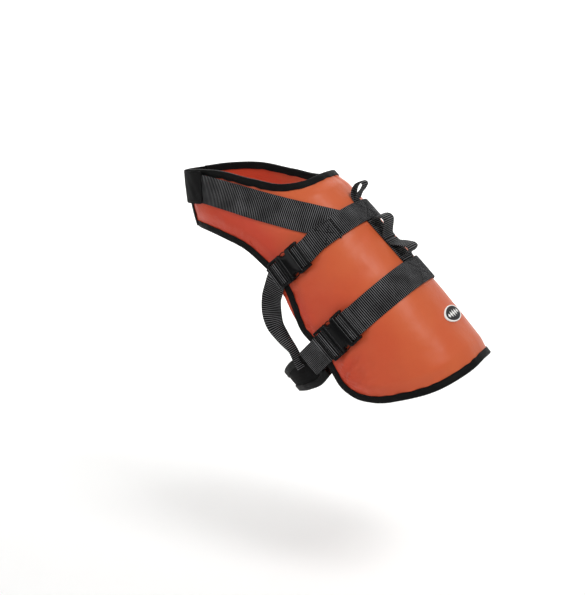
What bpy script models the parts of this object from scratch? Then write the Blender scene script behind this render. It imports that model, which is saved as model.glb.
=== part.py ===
"""Dog life jacket, size L, standing as it is worn.

A foam-filled back panel reaches from the nape to the loin, with two flaps that close round the
chest. Two girth straps with side-release buckles pass over it and meet a belly panel.

The frame is in metres with +Z up. The wearer faces -Y and its left side is +X. The origin is on
the panel's inner face, over the spine, at the middle of the front girth strap.

Every cloth piece is laid on one tube, the surface of a general trunk, in two coordinates:
"along" runs down the spine from the origin, in millimetres, and "around" runs from the spine
over the left side, in degrees, so that 180 is the middle of the chest and belly.
"""

from collections import namedtuple
import math

import bmesh
import bpy
from mathutils import Matrix, Vector
import numpy as np

MM = 0.001
OBJECT_NAME = "dog_life_jacket"

# ---- the trunk that the jacket is shaped to, in mm and degrees ----

TRUNK_PITCH = 45  # the spine climbs forwards at this angle, as on a sitting dog
BACK_FLATNESS = 1.3  # above 1, the panel bridges the spine in a flatter curve than an ellipse

# lean: how far the section turns from square to the spine; rise: of the back above the spine line;
# widest: the share of the depth at which the section is widest
Section = namedtuple("Section", "along lean depth half_width widest rise")
TRUNK = (
    Section(along=345, lean=0, depth=300, half_width=118, widest=0.42, rise=-9),
    Section(along=244, lean=0, depth=305, half_width=117, widest=0.42, rise=-3),
    Section(along=143, lean=0, depth=312, half_width=114, widest=0.42, rise=0),
    Section(along=70, lean=2, depth=306, half_width=111, widest=0.42, rise=0),
    Section(along=0, lean=5, depth=296, half_width=107, widest=0.42, rise=0),
    Section(along=-32, lean=16, depth=290, half_width=102, widest=0.42, rise=0),
    Section(along=-62, lean=30, depth=285, half_width=94, widest=0.44, rise=0),
    Section(along=-105, lean=48, depth=262, half_width=80, widest=0.46, rise=0),
)

# ---- the cut of the back panel: its left half, and the right half mirrors it ----

Point = namedtuple("Point", "along around")
NECK_EDGE = (
    Point(along=-93, around=0),
    Point(along=-92, around=16),
    Point(along=-82, around=46),
    Point(along=-81, around=62),
    Point(along=-90, around=84),
    Point(along=-97, around=106),
    Point(along=-97, around=130),
    Point(along=-95, around=158),
)
OUTER_EDGE = (
    Point(along=337, around=0),
    Point(along=337, around=34),
    Point(along=327, around=62),
    Point(along=302, around=85),
    Point(along=271, around=102),
    Point(along=243, around=110),
    Point(along=214, around=112.5),
    Point(along=186, around=110.5),
    Point(along=150, around=107.5),
    Point(along=95, around=108.5),
    Point(along=60, around=104),
    Point(along=20, around=100.5),
    Point(along=-14, around=104.5),
    Point(along=-33, around=110.5),
    Point(along=-44, around=120),
    Point(along=-54, around=138),
    Point(along=-58.5, around=158),
)
HALF_COLUMNS = 25  # of the panel's mesh, from the spine to the end of the flap
MIDDLE_ROWS = 8  # between the rows that lie close to each edge
END_STEP = 13  # from the last column but one to the end of a flap or of the belly panel
FOAM = 8  # thickness of the panel
FOAM_AT_EDGE = 4  # where the binding pinches it
BEVEL_FROM, BEVEL_TO = 12.5, 38  # distances from the edge between which it thickens

# ---- cloth and gaps ----

GAP = 0.4  # between pieces that touch
INNER_GAP = 0.8  # under the panel, whose flat faces cut across the trunk's curve
TAPE = 1.2  # thickness of the binding
TAPE_REACH = 12  # width of the binding on each face
WEBBING = 1.6
WIDE, NARROW = 50, 40  # the two widths of webbing
UNDER = FOAM + GAP + WEBBING / 2 + 0.2  # middle of a strap on the panel
ON_BAND = UNDER + WEBBING + GAP  # middle of a strap on the spine band
OVER = ON_BAND + 0.7  # middle of a strap that crosses another at a slant

# ---- straps ----

FRONT_STRAP_AT = 4  # along, at its middle
REAR_STRAP_AT = 146
BAND_FROM, BAND_TO = -2, 160  # the spine band, whose ends lie under the two girth straps
STRAP_CELLS = 3  # across a strap

# the way of each girth strap from below its socket, over the spine, to the belly panel's right end
Stop = namedtuple("Stop", "along around lift")
FRONT_ROUTE = (
    Stop(along=FRONT_STRAP_AT, around=62, lift=OVER),
    Stop(along=FRONT_STRAP_AT, around=20, lift=OVER),
    Stop(along=FRONT_STRAP_AT, around=-20, lift=OVER),
    Stop(along=FRONT_STRAP_AT, around=-70, lift=OVER),
    Stop(along=FRONT_STRAP_AT + 6, around=-98, lift=OVER),
    Stop(along=26, around=-113, lift=9),
    Stop(along=52, around=-122, lift=5),
    Stop(along=85, around=-129, lift=5),
    Stop(along=112, around=-132, lift=8.2),
    Stop(along=136, around=-133, lift=8.2),
)
REAR_ROUTE = (
    Stop(along=REAR_STRAP_AT, around=66, lift=UNDER),
    Stop(along=REAR_STRAP_AT, around=45, lift=UNDER),
    Stop(along=REAR_STRAP_AT, around=25, lift=OVER),
    Stop(along=REAR_STRAP_AT, around=0, lift=OVER),
    Stop(along=REAR_STRAP_AT, around=-25, lift=OVER),
    Stop(along=REAR_STRAP_AT, around=-45, lift=UNDER),
    Stop(along=REAR_STRAP_AT, around=-90, lift=UNDER),
    Stop(along=REAR_STRAP_AT, around=-107, lift=UNDER),
    Stop(along=REAR_STRAP_AT, around=-115, lift=8.2),
    Stop(along=REAR_STRAP_AT, around=-122, lift=7.9),
)
GIRTH_ROWS = 30

# the left strap from under the front girth strap to the chest, and the closure over both ends
NECK_STRAP = (
    Point(along=8, around=38.5),
    Point(along=-33, around=62),
    Point(along=-62, around=85),
    Point(along=-78, around=110),
    Point(along=-83, around=132),
    Point(along=-82, around=150),
)
NECK_ROWS = 18
NECK_LIFT = UNDER + 0.4
CLOSURE_AT = -84  # along, at its middle
CLOSURE_END = 126  # around, on the left
CLOSURE_WIDTH = 58
CLOSURE = 2.0  # its thickness
CLOSURE_LIFT = OVER + 0.3
CLOSURE_ROWS = 15

# where the strap below each plug reaches the belly panel. The front one is loose: it turns from
# down to rearwards, and folds on itself lengthwise as it does so.
Twist = namedtuple("Twist", "along around width roll lift")
LOOSE_STRAP = (
    Twist(along=14, around=105, width=NARROW, roll=0, lift=9),
    Twist(along=24, around=112, width=NARROW, roll=-5, lift=9),
    Twist(along=42, around=118, width=38, roll=-20, lift=10),
    Twist(along=62, around=121.5, width=33, roll=-32, lift=11),
    Twist(along=85, around=122.5, width=26, roll=-36, lift=11),
    Twist(along=110, around=123.5, width=20, roll=-24, lift=10),
    Twist(along=127, around=125.5, width=18, roll=0, lift=9),
    Twist(along=142, around=127, width=18, roll=0, lift=8.6),
)
LOOSE_ROWS = 20
REAR_STRAP_FROM, REAR_STRAP_TO = 111, 119  # around, from below the rear plug
REAR_STRAP_LIFT = 8.6

# ---- what stands on the spine ----

# (along, height over the cloth below) of a loop of webbing seen from the side
Loop = namedtuple("Loop", "name width lift points")
LOOPS = (
    Loop(
        name="front_tab_loop",
        width=30,
        lift=UNDER,
        points=((-12, 0), (-22, 0), (-32, 5), (-38, 15), (-39, 25), (-35, 32), (-30, 32),
                (-27, 26), (-25, 14), (-20.5, 3)),
    ),
    Loop(
        name="handle_front",
        width=WIDE,
        lift=ON_BAND,
        points=((30, 0), (28.5, 8), (31, 16), (37, 20.5), (44, 20.5), (50, 15.5), (57, 7),
                (63, 1), (71, 0)),
    ),
    Loop(
        name="handle_rear",
        width=WIDE,
        lift=ON_BAND,
        points=((74, 0), (82, 1), (90, 8.5), (98, 15), (105, 19.5), (110.5, 19.5),
                (113, 14), (112.5, 2), (120, 0)),
    ),
)
BADGE_AT = 243  # along, at its middle
BADGE_HALF_LENGTH, BADGE_HALF_WIDTH = 15.5, 36
BADGE = 1.4  # its thickness
BADGE_LIFT = FOAM + GAP + 0.15
BADGE_CORE = 0.34  # size of the innermost ring of its mesh, as a share of the outline
BADGE_RINGS, BADGE_SIDES = 3, 28
BAND_ROWS, LOOP_ROWS = 14, 22

# ---- the belly panel ----

BELLY_FOAM = 5
BELLY_FRONT_EDGE = (
    Point(along=128, around=119),
    Point(along=122, around=136),
    Point(along=124, around=158),
    Point(along=126, around=180),
)
BELLY_REAR_EDGE = (
    Point(along=184, around=112.5),
    Point(along=186, around=124),
    Point(along=178, around=137),
    Point(along=166, around=156),
    Point(along=163, around=180),
)
BELLY_COLUMNS = 12  # in each half

# ---- buckles: the middle of each, and the webbing it takes ----

Buckle = namedtuple("Buckle", "place along around webbing")
BUCKLES = (
    Buckle(place="front", along=FRONT_STRAP_AT + 3, around=87, webbing=NARROW),
    Buckle(place="rear", along=REAR_STRAP_AT, around=90, webbing=WIDE),
)
BUCKLE_SEAT = 8.8  # lift of a buckle's flat back off the trunk
FRAME_SIDE = 5  # of the frame beside the webbing
BODY_HEIGHT = 12
BAR_LOW, BAR_HIGH = 3.9, 7.9  # the ladder frame's underside and top
RIM_LOW = 10.1  # underside of the bar at each end, which both layers of the webbing pass under
BAR = 5  # width of one bar
SLOT = 6  # gap between two bars
STRAP_BAR = 4  # width of the bar that the webbing is folded round
STRAP_SLOT = 4  # gap on its inner side
SOCKET_BACK, SOCKET_MOUTH = -34, 11  # along the strap, from the buckle's middle
SOCKET_FOLD = SOCKET_BACK + BAR + SLOT + STRAP_BAR  # inner edge of the bar in each ladder
PLUG_FOLD, PLUG_END = 22, 34
PLAY = 0.4  # between plug and socket
FOLD = 3.1  # radius of a strap's middle round a bar
FOLD_SQUASH = 0.6  # depth of the fold along the strap, as a share of its radius
FOLD_RUN = 5  # length of flat strap before the fold
TAILS = (27, 20)  # length of the strap's end that is folded back, above and below the buckle
TAIL_DROP = 1.4  # of the tail's end below the top of the fold
CAVITY_LOW, CAVITY_HIGH = 3.0, 9.0  # of the socket's hollow, off the buckle's back


def spline(x, xs, ys):
    """A smooth curve through the points (xs, ys), read at x: cubic pieces whose slope at each
    point is a mean of its neighbours' slopes."""
    xs, ys = np.asarray(xs, float), np.asarray(ys, float)
    steps = np.diff(xs)
    slopes = np.diff(ys) / steps
    tangents = np.empty_like(ys)
    tangents[1:-1] = (slopes[:-1] * steps[1:] + slopes[1:] * steps[:-1]) / (steps[:-1] + steps[1:])
    tangents[0], tangents[-1] = slopes[0], slopes[-1]
    piece = np.clip(np.searchsorted(xs, x, side="right") - 1, 0, len(steps) - 1)
    t, step = (x - xs[piece]) / steps[piece], steps[piece]
    start = (1 + 2 * t) * (1 - t) ** 2 * ys[piece] + t * (1 - t) ** 2 * step * tangents[piece]
    end = t**2 * (3 - 2 * t) * ys[piece + 1] + t**2 * (t - 1) * step * tangents[piece + 1]
    return start + end


def trunk_value(along, column):
    rows = sorted(TRUNK)
    return spline(along, [row.along for row in rows], [getattr(row, column) for row in rows])


def trunk(along, around):
    """Points of the trunk's surface, in mm."""
    along, around = np.broadcast_arrays(np.asarray(along, float), np.radians(around))
    depth, widest = trunk_value(along, "depth"), trunk_value(along, "widest")
    level = np.cos(around)
    down = np.where(
        level > 0,
        widest * np.abs(1 - level) ** BACK_FLATNESS,
        widest - (1 - widest) * level,
    ) * depth - trunk_value(along, "rise")
    pitch = math.radians(TRUNK_PITCH)
    dip = math.radians(90 - TRUNK_PITCH) - np.radians(trunk_value(along, "lean"))
    return np.stack(
        [
            trunk_value(along, "half_width") * np.sin(around),
            along * math.cos(pitch) - down * np.cos(dip),
            -along * math.sin(pitch) - down * np.sin(dip),
        ],
        axis=-1,
    )


def slopes(along, around):
    """How the surface point moves for one mm along and for one degree around."""
    step = 0.5
    d_along = (trunk(along + step, around) - trunk(along - step, around)) / (2 * step)
    d_around = (trunk(along, around + step) - trunk(along, around - step)) / (2 * step)
    return d_along, d_around


def outward(along, around):
    d_along, d_around = slopes(np.asarray(along, float), np.asarray(around, float))
    normal = np.cross(d_around, d_along)
    return normal / np.linalg.norm(normal, axis=-1, keepdims=True)


def lifted(along, around, lift):
    """Points this far outside the trunk."""
    along, around, lift = np.broadcast_arrays(along, around, lift)
    return trunk(along, around) + outward(along, around) * lift[..., None]


def unit(vectors):
    return vectors / np.linalg.norm(vectors, axis=-1, keepdims=True)


def beside(path, distance):
    """(along, around) of points at this distance, in mm, to the left of a path on the trunk, or to
    its right where the distance is negative. A path is an array of (along, around) rows."""
    along, around = path[:, 0], path[:, 1]
    d_along, d_around = slopes(along, around)
    heading = np.gradient(trunk(along, around), axis=0)
    side = unit(np.cross(outward(along, around), heading))
    basis = np.stack([d_along, d_around], axis=-1)
    shift = np.einsum("nij,nj->ni", np.linalg.pinv(basis), side)
    return path + shift * np.reshape(distance, (-1, 1))


def sampled(points, count, last_step=None):
    """This many rows of a smooth curve through rows that start with along and around, evenly spread
    in mm, apart from a last step of a length of its own. Further columns go straight between rows."""
    rows = np.array(points, float)
    legs = np.linalg.norm(np.diff(trunk(rows[:, 0], rows[:, 1]), axis=0), axis=1)
    ends = np.concatenate([[0], np.cumsum(legs)])
    if last_step is None:
        at = np.linspace(0, ends[-1], count)
    else:
        at = np.append(np.linspace(0, ends[-1] - last_step, count - 1), ends[-1])
    curve = [spline(at, ends, column) for column in rows.T[:2]]
    return np.stack(curve + [np.interp(at, ends, column) for column in rows.T[2:]], axis=-1)


def mirrored_edge(half):
    """A whole edge from its left half: right end first, through the spine or the belly's middle."""
    other = half[:0:-1].copy()
    middle = half[0, 1]
    other[:, 1] = 2 * middle - other[:, 1]
    return np.concatenate([other, half])


# ---- meshes ----


def material(name, colour, roughness, metallic=0.0):
    found = bpy.data.materials.get(name)
    if found:
        return found
    made = bpy.data.materials.new(name)
    made.use_nodes = True
    shader = made.node_tree.nodes["Principled BSDF"]
    shader.inputs["Base Color"].default_value = (*colour, 1)
    shader.inputs["Roughness"].default_value = roughness
    shader.inputs["Metallic"].default_value = metallic
    return made


def orange():
    return material("orange_coated_nylon", (0.58, 0.115, 0.045), 0.5)


def black_webbing():
    return material("black_webbing", (0.014, 0.014, 0.015), 0.75)


def black_tape():
    return material("black_binding_tape", (0.010, 0.010, 0.011), 0.7)


def black_closure():
    return material("black_closure", (0.012, 0.012, 0.013), 0.85)


def black_belly_cloth():
    return material("black_belly_cloth", (0.008, 0.008, 0.009), 0.7)


def black_acetal():
    return material("black_acetal", (0.010, 0.010, 0.011), 0.35)


def badge_rubber():
    return material("badge_rubber", (0.010, 0.010, 0.010), 0.5)


def add_object(name, mesh, finish):
    mesh.materials.append(finish)
    mesh.shade_smooth()
    mesh.set_sharp_from_angle(angle=math.radians(35))
    made = bpy.data.objects.new(name, mesh)
    bpy.data.collections[OBJECT_NAME].objects.link(made)
    return made


def grid_faces(rows, columns):
    """Quads of a grid whose points are numbered row by row."""
    first = (np.arange(rows - 1)[:, None] * columns + np.arange(columns - 1)).reshape(-1)
    return np.stack([first, first + 1, first + columns + 1, first + columns], axis=-1)


def slab(name, inner, outer, finish):
    """A closed piece between two grids of points, in mm, of rows by columns."""
    rows, columns = inner.shape[:2]
    count = rows * columns
    below = grid_faces(rows, columns)
    number = np.arange(count).reshape(rows, columns)
    rim = np.concatenate([number[0, :-1], number[:-1, -1], number[-1, :0:-1], number[:0:-1, 0]])
    following = np.roll(rim, -1)
    walls = np.stack([rim, following, following + count, rim + count], axis=-1)
    faces = np.concatenate([below[:, ::-1], below + count, walls])
    points = np.concatenate([inner.reshape(-1, 3), outer.reshape(-1, 3)]) * MM
    mesh = bpy.data.meshes.new(name)
    mesh.from_pydata(points.tolist(), [], faces.tolist())
    face_outwards(mesh)
    return add_object(name, mesh, finish)


def face_outwards(mesh):
    shape = bmesh.new()
    shape.from_mesh(mesh)
    bmesh.ops.recalc_face_normals(shape, faces=shape.faces)
    shape.to_mesh(mesh)
    shape.free()


def tube(name, sections, finish):
    """A closed piece lofted through equal polygons of points, in mm."""
    rows, sides = sections.shape[:2]
    looped = np.concatenate([sections, sections[:, :1]], axis=1)
    numbers = np.arange(rows * sides).reshape(rows, sides)
    numbers = np.concatenate([numbers, numbers[:, :1]], axis=1)
    quads = grid_faces(rows, looped.shape[1])
    faces = numbers.reshape(-1)[quads].tolist()
    faces += [list(range(sides))[::-1], list(range((rows - 1) * sides, rows * sides))]
    mesh = bpy.data.meshes.new(name)
    mesh.from_pydata((sections.reshape(-1, 3) * MM).tolist(), [], faces)
    face_outwards(mesh)
    return add_object(name, mesh, finish)


def strip(name, rows, finish, thickness=WEBBING):
    """Webbing through rows of points across it, in mm, thickened by half to each side."""
    rows = np.asarray(rows)
    mesh = bpy.data.meshes.new(name)
    faces = grid_faces(*rows.shape[:2])
    mesh.from_pydata((rows.reshape(-1, 3) * MM).tolist(), [], faces.tolist())
    made = add_object(name, mesh, finish)
    wall = made.modifiers.new("thickness", "SOLIDIFY")
    wall.thickness = thickness * MM
    wall.offset = 0
    return made


# ---- the back panel ----


def edge_rows(edge, opposite, inwards):
    """The edge itself and the rows beside it at the two ends of the panel's bevel, which is
    shorter where the opposite edge is near, as on the flaps. At the end of each flap the rows
    lie on the straight way across it instead."""
    room = np.linalg.norm(trunk(*edge.T) - trunk(*opposite.T), axis=1)
    bevel_to = np.minimum(BEVEL_TO, 0.4 * room)
    rows = []
    for distance in (0 * room, 0 * room + BEVEL_FROM, bevel_to):
        row = beside(edge, inwards * distance)
        for end in (0, 1, -2, -1):
            row[end] = edge[end] + (opposite[end] - edge[end]) * distance[end] / room[end]
        rows.append(row)
    return rows


def panel_grid():
    """(along, around) of the panel's mesh: rows from the neck edge to the outer edge, columns from
    the end of the right flap over the spine to the end of the left one."""
    neck = mirrored_edge(sampled(NECK_EDGE, HALF_COLUMNS + 1, END_STEP))
    outer = mirrored_edge(sampled(OUTER_EDGE, HALF_COLUMNS + 1, END_STEP))
    at_neck, at_outer = edge_rows(neck, outer, 1), edge_rows(outer, neck, -1)
    shares = np.linspace(0, 1, MIDDLE_ROWS + 2)[1:-1]
    middle = [at_neck[-1] * (1 - share) + at_outer[-1] * share for share in shares]
    return np.stack(at_neck + middle + at_outer[::-1])


def foam(grid):
    """The panel's thickness at each point of its grid, thinner in the rows by an edge and at the
    ends of the flaps."""
    thickness = np.full(grid.shape[:2], float(FOAM))
    thickness[[0, 1, -2, -1]] = FOAM_AT_EDGE
    thickness[:, [0, 1, -2, -1]] = FOAM_AT_EDGE
    return thickness


def back_panel():
    grid = panel_grid()
    inner = trunk(grid[..., 0], grid[..., 1])
    outer = lifted(grid[..., 0], grid[..., 1], foam(grid))
    slab("back_panel", inner, outer, orange())


def binding(name, path, inwards, thickness):
    """Tape folded over an edge of this thickness. Its section is a C that is open inwards."""
    low, high = -INNER_GAP, thickness + GAP
    reach, wall = TAPE_REACH, TAPE
    section = (
        (reach, high + wall),
        (-GAP - wall, high + wall),
        (-GAP - wall, low - wall),
        (reach, low - wall),
        (reach, low),
        (-GAP, low),
        (-GAP, high),
        (reach, high),
    )
    corners = []
    for distance, lift in section:
        side = beside(path, inwards * distance)
        corners.append(lifted(side[:, 0], side[:, 1], lift))
    tube(name, np.stack(corners, axis=1), black_tape())


def back_bindings():
    """Tape round the neck, the hem with its round corners, each armhole and each flap's end."""
    grid = panel_grid()
    binding("binding_neck", grid[0], 1, FOAM_AT_EDGE)
    outer = grid[-1]
    joint = int(np.argmin(np.abs(outer[HALF_COLUMNS:, 0] - REAR_STRAP_AT)))
    left, right = HALF_COLUMNS + joint, HALF_COLUMNS - joint
    binding("binding_hem", outer[right : left + 1], -1, FOAM_AT_EDGE)
    binding("binding_armhole_left", trimmed(outer[left:], 2 * GAP), -1, FOAM_AT_EDGE)
    binding("binding_armhole_right", trimmed(outer[right::-1], 2 * GAP), 1, FOAM_AT_EDGE)
    for side, column, inwards in (("left", -1, 1), ("right", 0, -1)):
        end = trimmed(trimmed(grid[1:-1, column], 1)[::-1], 1)[::-1]
        binding(f"binding_flap_{side}", end, inwards, FOAM_AT_EDGE)


def trimmed(path, by):
    """The path with its first point moved along it by this many mm."""
    path = path.copy()
    leg = trunk(*path[1]) - trunk(*path[0])
    path[0] += (path[1] - path[0]) * by / np.linalg.norm(leg)
    return path


# ---- straps on the trunk ----


def across(width):
    return np.linspace(-width / 2, width / 2, STRAP_CELLS + 1)


def laid(path, width, lift):
    """Rows of points across a strap whose middle follows a path on the trunk."""
    lift = np.broadcast_to(lift, len(path))
    columns = []
    for distance in across(width):
        side = beside(path, distance)
        columns.append(lifted(side[:, 0], side[:, 1], lift))
    return np.stack(columns, axis=1)


def girth_line(at, first, last, count):
    """A path straight round the trunk."""
    return np.stack([np.full(count, float(at)), np.linspace(first, last, count)], axis=-1)


def buckle_frame(buckle):
    """The buckle's middle and its directions: down the strap, across it and outwards."""
    d_along, d_around = slopes(float(buckle.along), float(buckle.around))
    out = outward(float(buckle.along), float(buckle.around))
    down = unit(d_around - out * np.dot(d_around, out))
    middle = trunk(buckle.along, buckle.around) + out * BUCKLE_SEAT
    return middle, down, np.cross(out, down), out


def in_buckle(buckle, x, z, width):
    """A row of points across a strap, x down from the buckle's middle and z off its back."""
    middle, down, side, out = buckle_frame(buckle)
    return middle + down * x + out * z - side * across(width)[:, None]


def folded_end(buckle, towards):
    """Rows of a strap's end that runs under a buckle's rim and inner bar, up round that bar and back
    over itself. The strap comes from above the buckle where towards is 1, from below where it is
    -1."""
    bar, tail = (SOCKET_FOLD, TAILS[0]) if towards == 1 else (PLUG_FOLD, TAILS[1])
    middle = (BAR_LOW + BAR_HIGH) / 2
    width = towards * buckle.webbing
    rows = [in_buckle(buckle, bar - towards * (BAR + FOLD_RUN), middle - FOLD, width)]
    for turn in np.linspace(-90, 90, 7):
        x = bar + towards * FOLD * FOLD_SQUASH * math.cos(math.radians(turn))
        z = middle + FOLD * math.sin(math.radians(turn))
        rows.append(in_buckle(buckle, x, z, width))
    end_x = bar - towards * tail
    rows.append(in_buckle(buckle, (bar + end_x) / 2, middle + FOLD - TAIL_DROP / 3, width))
    rows.append(in_buckle(buckle, end_x, middle + FOLD - TAIL_DROP, width))
    return rows


def girth_straps():
    """Each strap starts at its socket, crosses the back and runs down the right side."""
    for name, buckle, width, route in (
        ("front_girth_strap", BUCKLES[0], NARROW, FRONT_ROUTE),
        ("rear_girth_strap", BUCKLES[1], WIDE, REAR_ROUTE),
    ):
        path = sampled(route, GIRTH_ROWS)
        on_trunk = list(laid(path[:, :2], width, path[:, 2]))
        strip(name, folded_end(buckle, 1)[::-1] + on_trunk, black_webbing())


def neck_straps():
    """The webbing from under the front girth strap to the chest, and the closure over its ends."""
    path = sampled(NECK_STRAP, NECK_ROWS)
    for side, sign in (("left", 1), ("right", -1)):
        rows = laid(path, WIDE, NECK_LIFT)
        rows[..., 0] *= sign
        strip(f"neck_strap_{side}", rows, black_webbing())
    chest = girth_line(CLOSURE_AT, CLOSURE_END, 360 - CLOSURE_END, CLOSURE_ROWS)
    strip("chest_closure", laid(chest, CLOSURE_WIDTH, CLOSURE_LIFT), black_closure(), CLOSURE)


# ---- what stands on the spine ----

def around_at(along, x):
    """The angle at which the trunk is this far from the spine's plane."""
    return np.degrees(np.arcsin(x / trunk_value(np.asarray(along, float), "half_width")))


def spine_row(along, width, lift):
    """A row of points across a strap that runs down the spine."""
    offsets = -across(width)
    return lifted(float(along), around_at(along, offsets), lift)


def spine_band():
    rows = [spine_row(along, WIDE, UNDER) for along in np.linspace(BAND_FROM, BAND_TO, BAND_ROWS)]
    strip("spine_band", rows, black_webbing())


def spine_loops():
    for loop in LOOPS:
        points = np.array(loop.points, float)
        legs = np.concatenate([[0], np.cumsum(np.linalg.norm(np.diff(points, axis=0), axis=1))])
        at = np.linspace(0, legs[-1], LOOP_ROWS)
        alongs, heights = spline(at, legs, points[:, 0]), spline(at, legs, points[:, 1])
        rows = [
            spine_row(along, loop.width, loop.lift) + outward(along, 0.0) * height
            for along, height in zip(alongs, heights)
        ]
        strip(loop.name, rows, black_webbing())


def badge():
    """An oval patch over the spine, near the hem."""
    rings = []
    turns = np.linspace(0, 2 * math.pi, BADGE_SIDES, endpoint=False)
    shares = np.linspace(BADGE_CORE, 1, BADGE_RINGS)
    for lift, face in ((BADGE_LIFT, shares), (BADGE_LIFT + BADGE, shares[::-1])):
        for share in face:
            along = BADGE_AT + BADGE_HALF_LENGTH * share * np.cos(turns)
            x = BADGE_HALF_WIDTH * share * np.sin(turns)
            rings.append(lifted(along, around_at(along, x), lift))
    tube("badge", np.stack(rings), badge_rubber())


# ---- the belly panel ----


def belly_grid():
    front, rear = (
        mirrored_edge(sampled(edge[::-1], BELLY_COLUMNS + 1, END_STEP))
        for edge in (BELLY_FRONT_EDGE, BELLY_REAR_EDGE)
    )
    return np.stack(
        [front, beside(front, -BEVEL_FROM), beside(rear, BEVEL_FROM), rear]
    )


def belly():
    grid = belly_grid()
    inner = trunk(grid[..., 0], grid[..., 1])
    outer = lifted(grid[..., 0], grid[..., 1], BELLY_FOAM)
    slab("belly_panel", inner, outer, black_belly_cloth())
    binding("belly_binding_front", grid[0], -1, BELLY_FOAM)
    binding("belly_binding_rear", grid[-1], 1, BELLY_FOAM)
    for side, column, inwards in (("right", 0, 1), ("left", -1, -1)):
        path = trimmed(trimmed(grid[1:3, column], 6)[::-1], 7)[::-1]
        binding(f"belly_binding_{side}", path, inwards, BELLY_FOAM)


def lower_straps():
    """The front one is loose; the rear one lies flat from its plug to the belly panel."""
    front, rear = BUCKLES
    along, around, widths, rolls, lifts = sampled(LOOSE_STRAP, LOOSE_ROWS).T
    middle = lifted(along, around, lifts)
    out = outward(along, around)
    side = unit(np.cross(out, np.gradient(middle, axis=0)))
    rolls = np.radians(rolls)[:, None]
    tilted = side * np.cos(rolls) + out * np.sin(rolls)
    shares = across(1.0)
    rows = middle[:, None] + tilted[:, None] * (widths[:, None] * shares)[..., None]
    strip("front_lower_strap", folded_end(front, -1)[::-1] + list(rows), black_webbing())
    path = girth_line(REAR_STRAP_AT, REAR_STRAP_FROM, REAR_STRAP_TO, 4)
    rows = laid(path, WIDE, REAR_STRAP_LIFT)
    strip("rear_lower_strap", folded_end(rear, -1)[::-1] + list(rows), black_webbing())


# ---- buckles ----


def box(name, low, high, finish=None, bevel=0.0):
    """A box between two corners, in mm, still in the buckle's own frame. A cutter has no finish."""
    low, high = Vector(low), Vector(high)
    bpy.ops.mesh.primitive_cube_add(size=1)
    made = bpy.context.object
    made.name = made.data.name = name
    place = Matrix.Translation((low + high) / 2 * MM) @ Matrix.Diagonal(((high - low) * MM).to_4d())
    made.data.transform(place)
    for collection in list(made.users_collection):
        collection.objects.unlink(made)
    home = OBJECT_NAME if finish else "cutters"
    bpy.data.collections[home].objects.link(made)
    if finish:
        made.data.materials.append(finish)
    else:
        made.hide_render = True
        made.display_type = "WIRE"
    if bevel:
        rounding = made.modifiers.new("rounding", "BEVEL")
        rounding.width = bevel * MM
        rounding.segments = 2
        rounding.limit_method = "ANGLE"
    return made


def cut(target, cutter):
    boolean = target.modifiers.new(cutter.name, "BOOLEAN")
    boolean.operation = "DIFFERENCE"
    boolean.object = cutter


def join(target, addition):
    boolean = target.modifiers.new(addition.name, "BOOLEAN")
    boolean.operation = "UNION"
    boolean.object = addition


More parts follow.
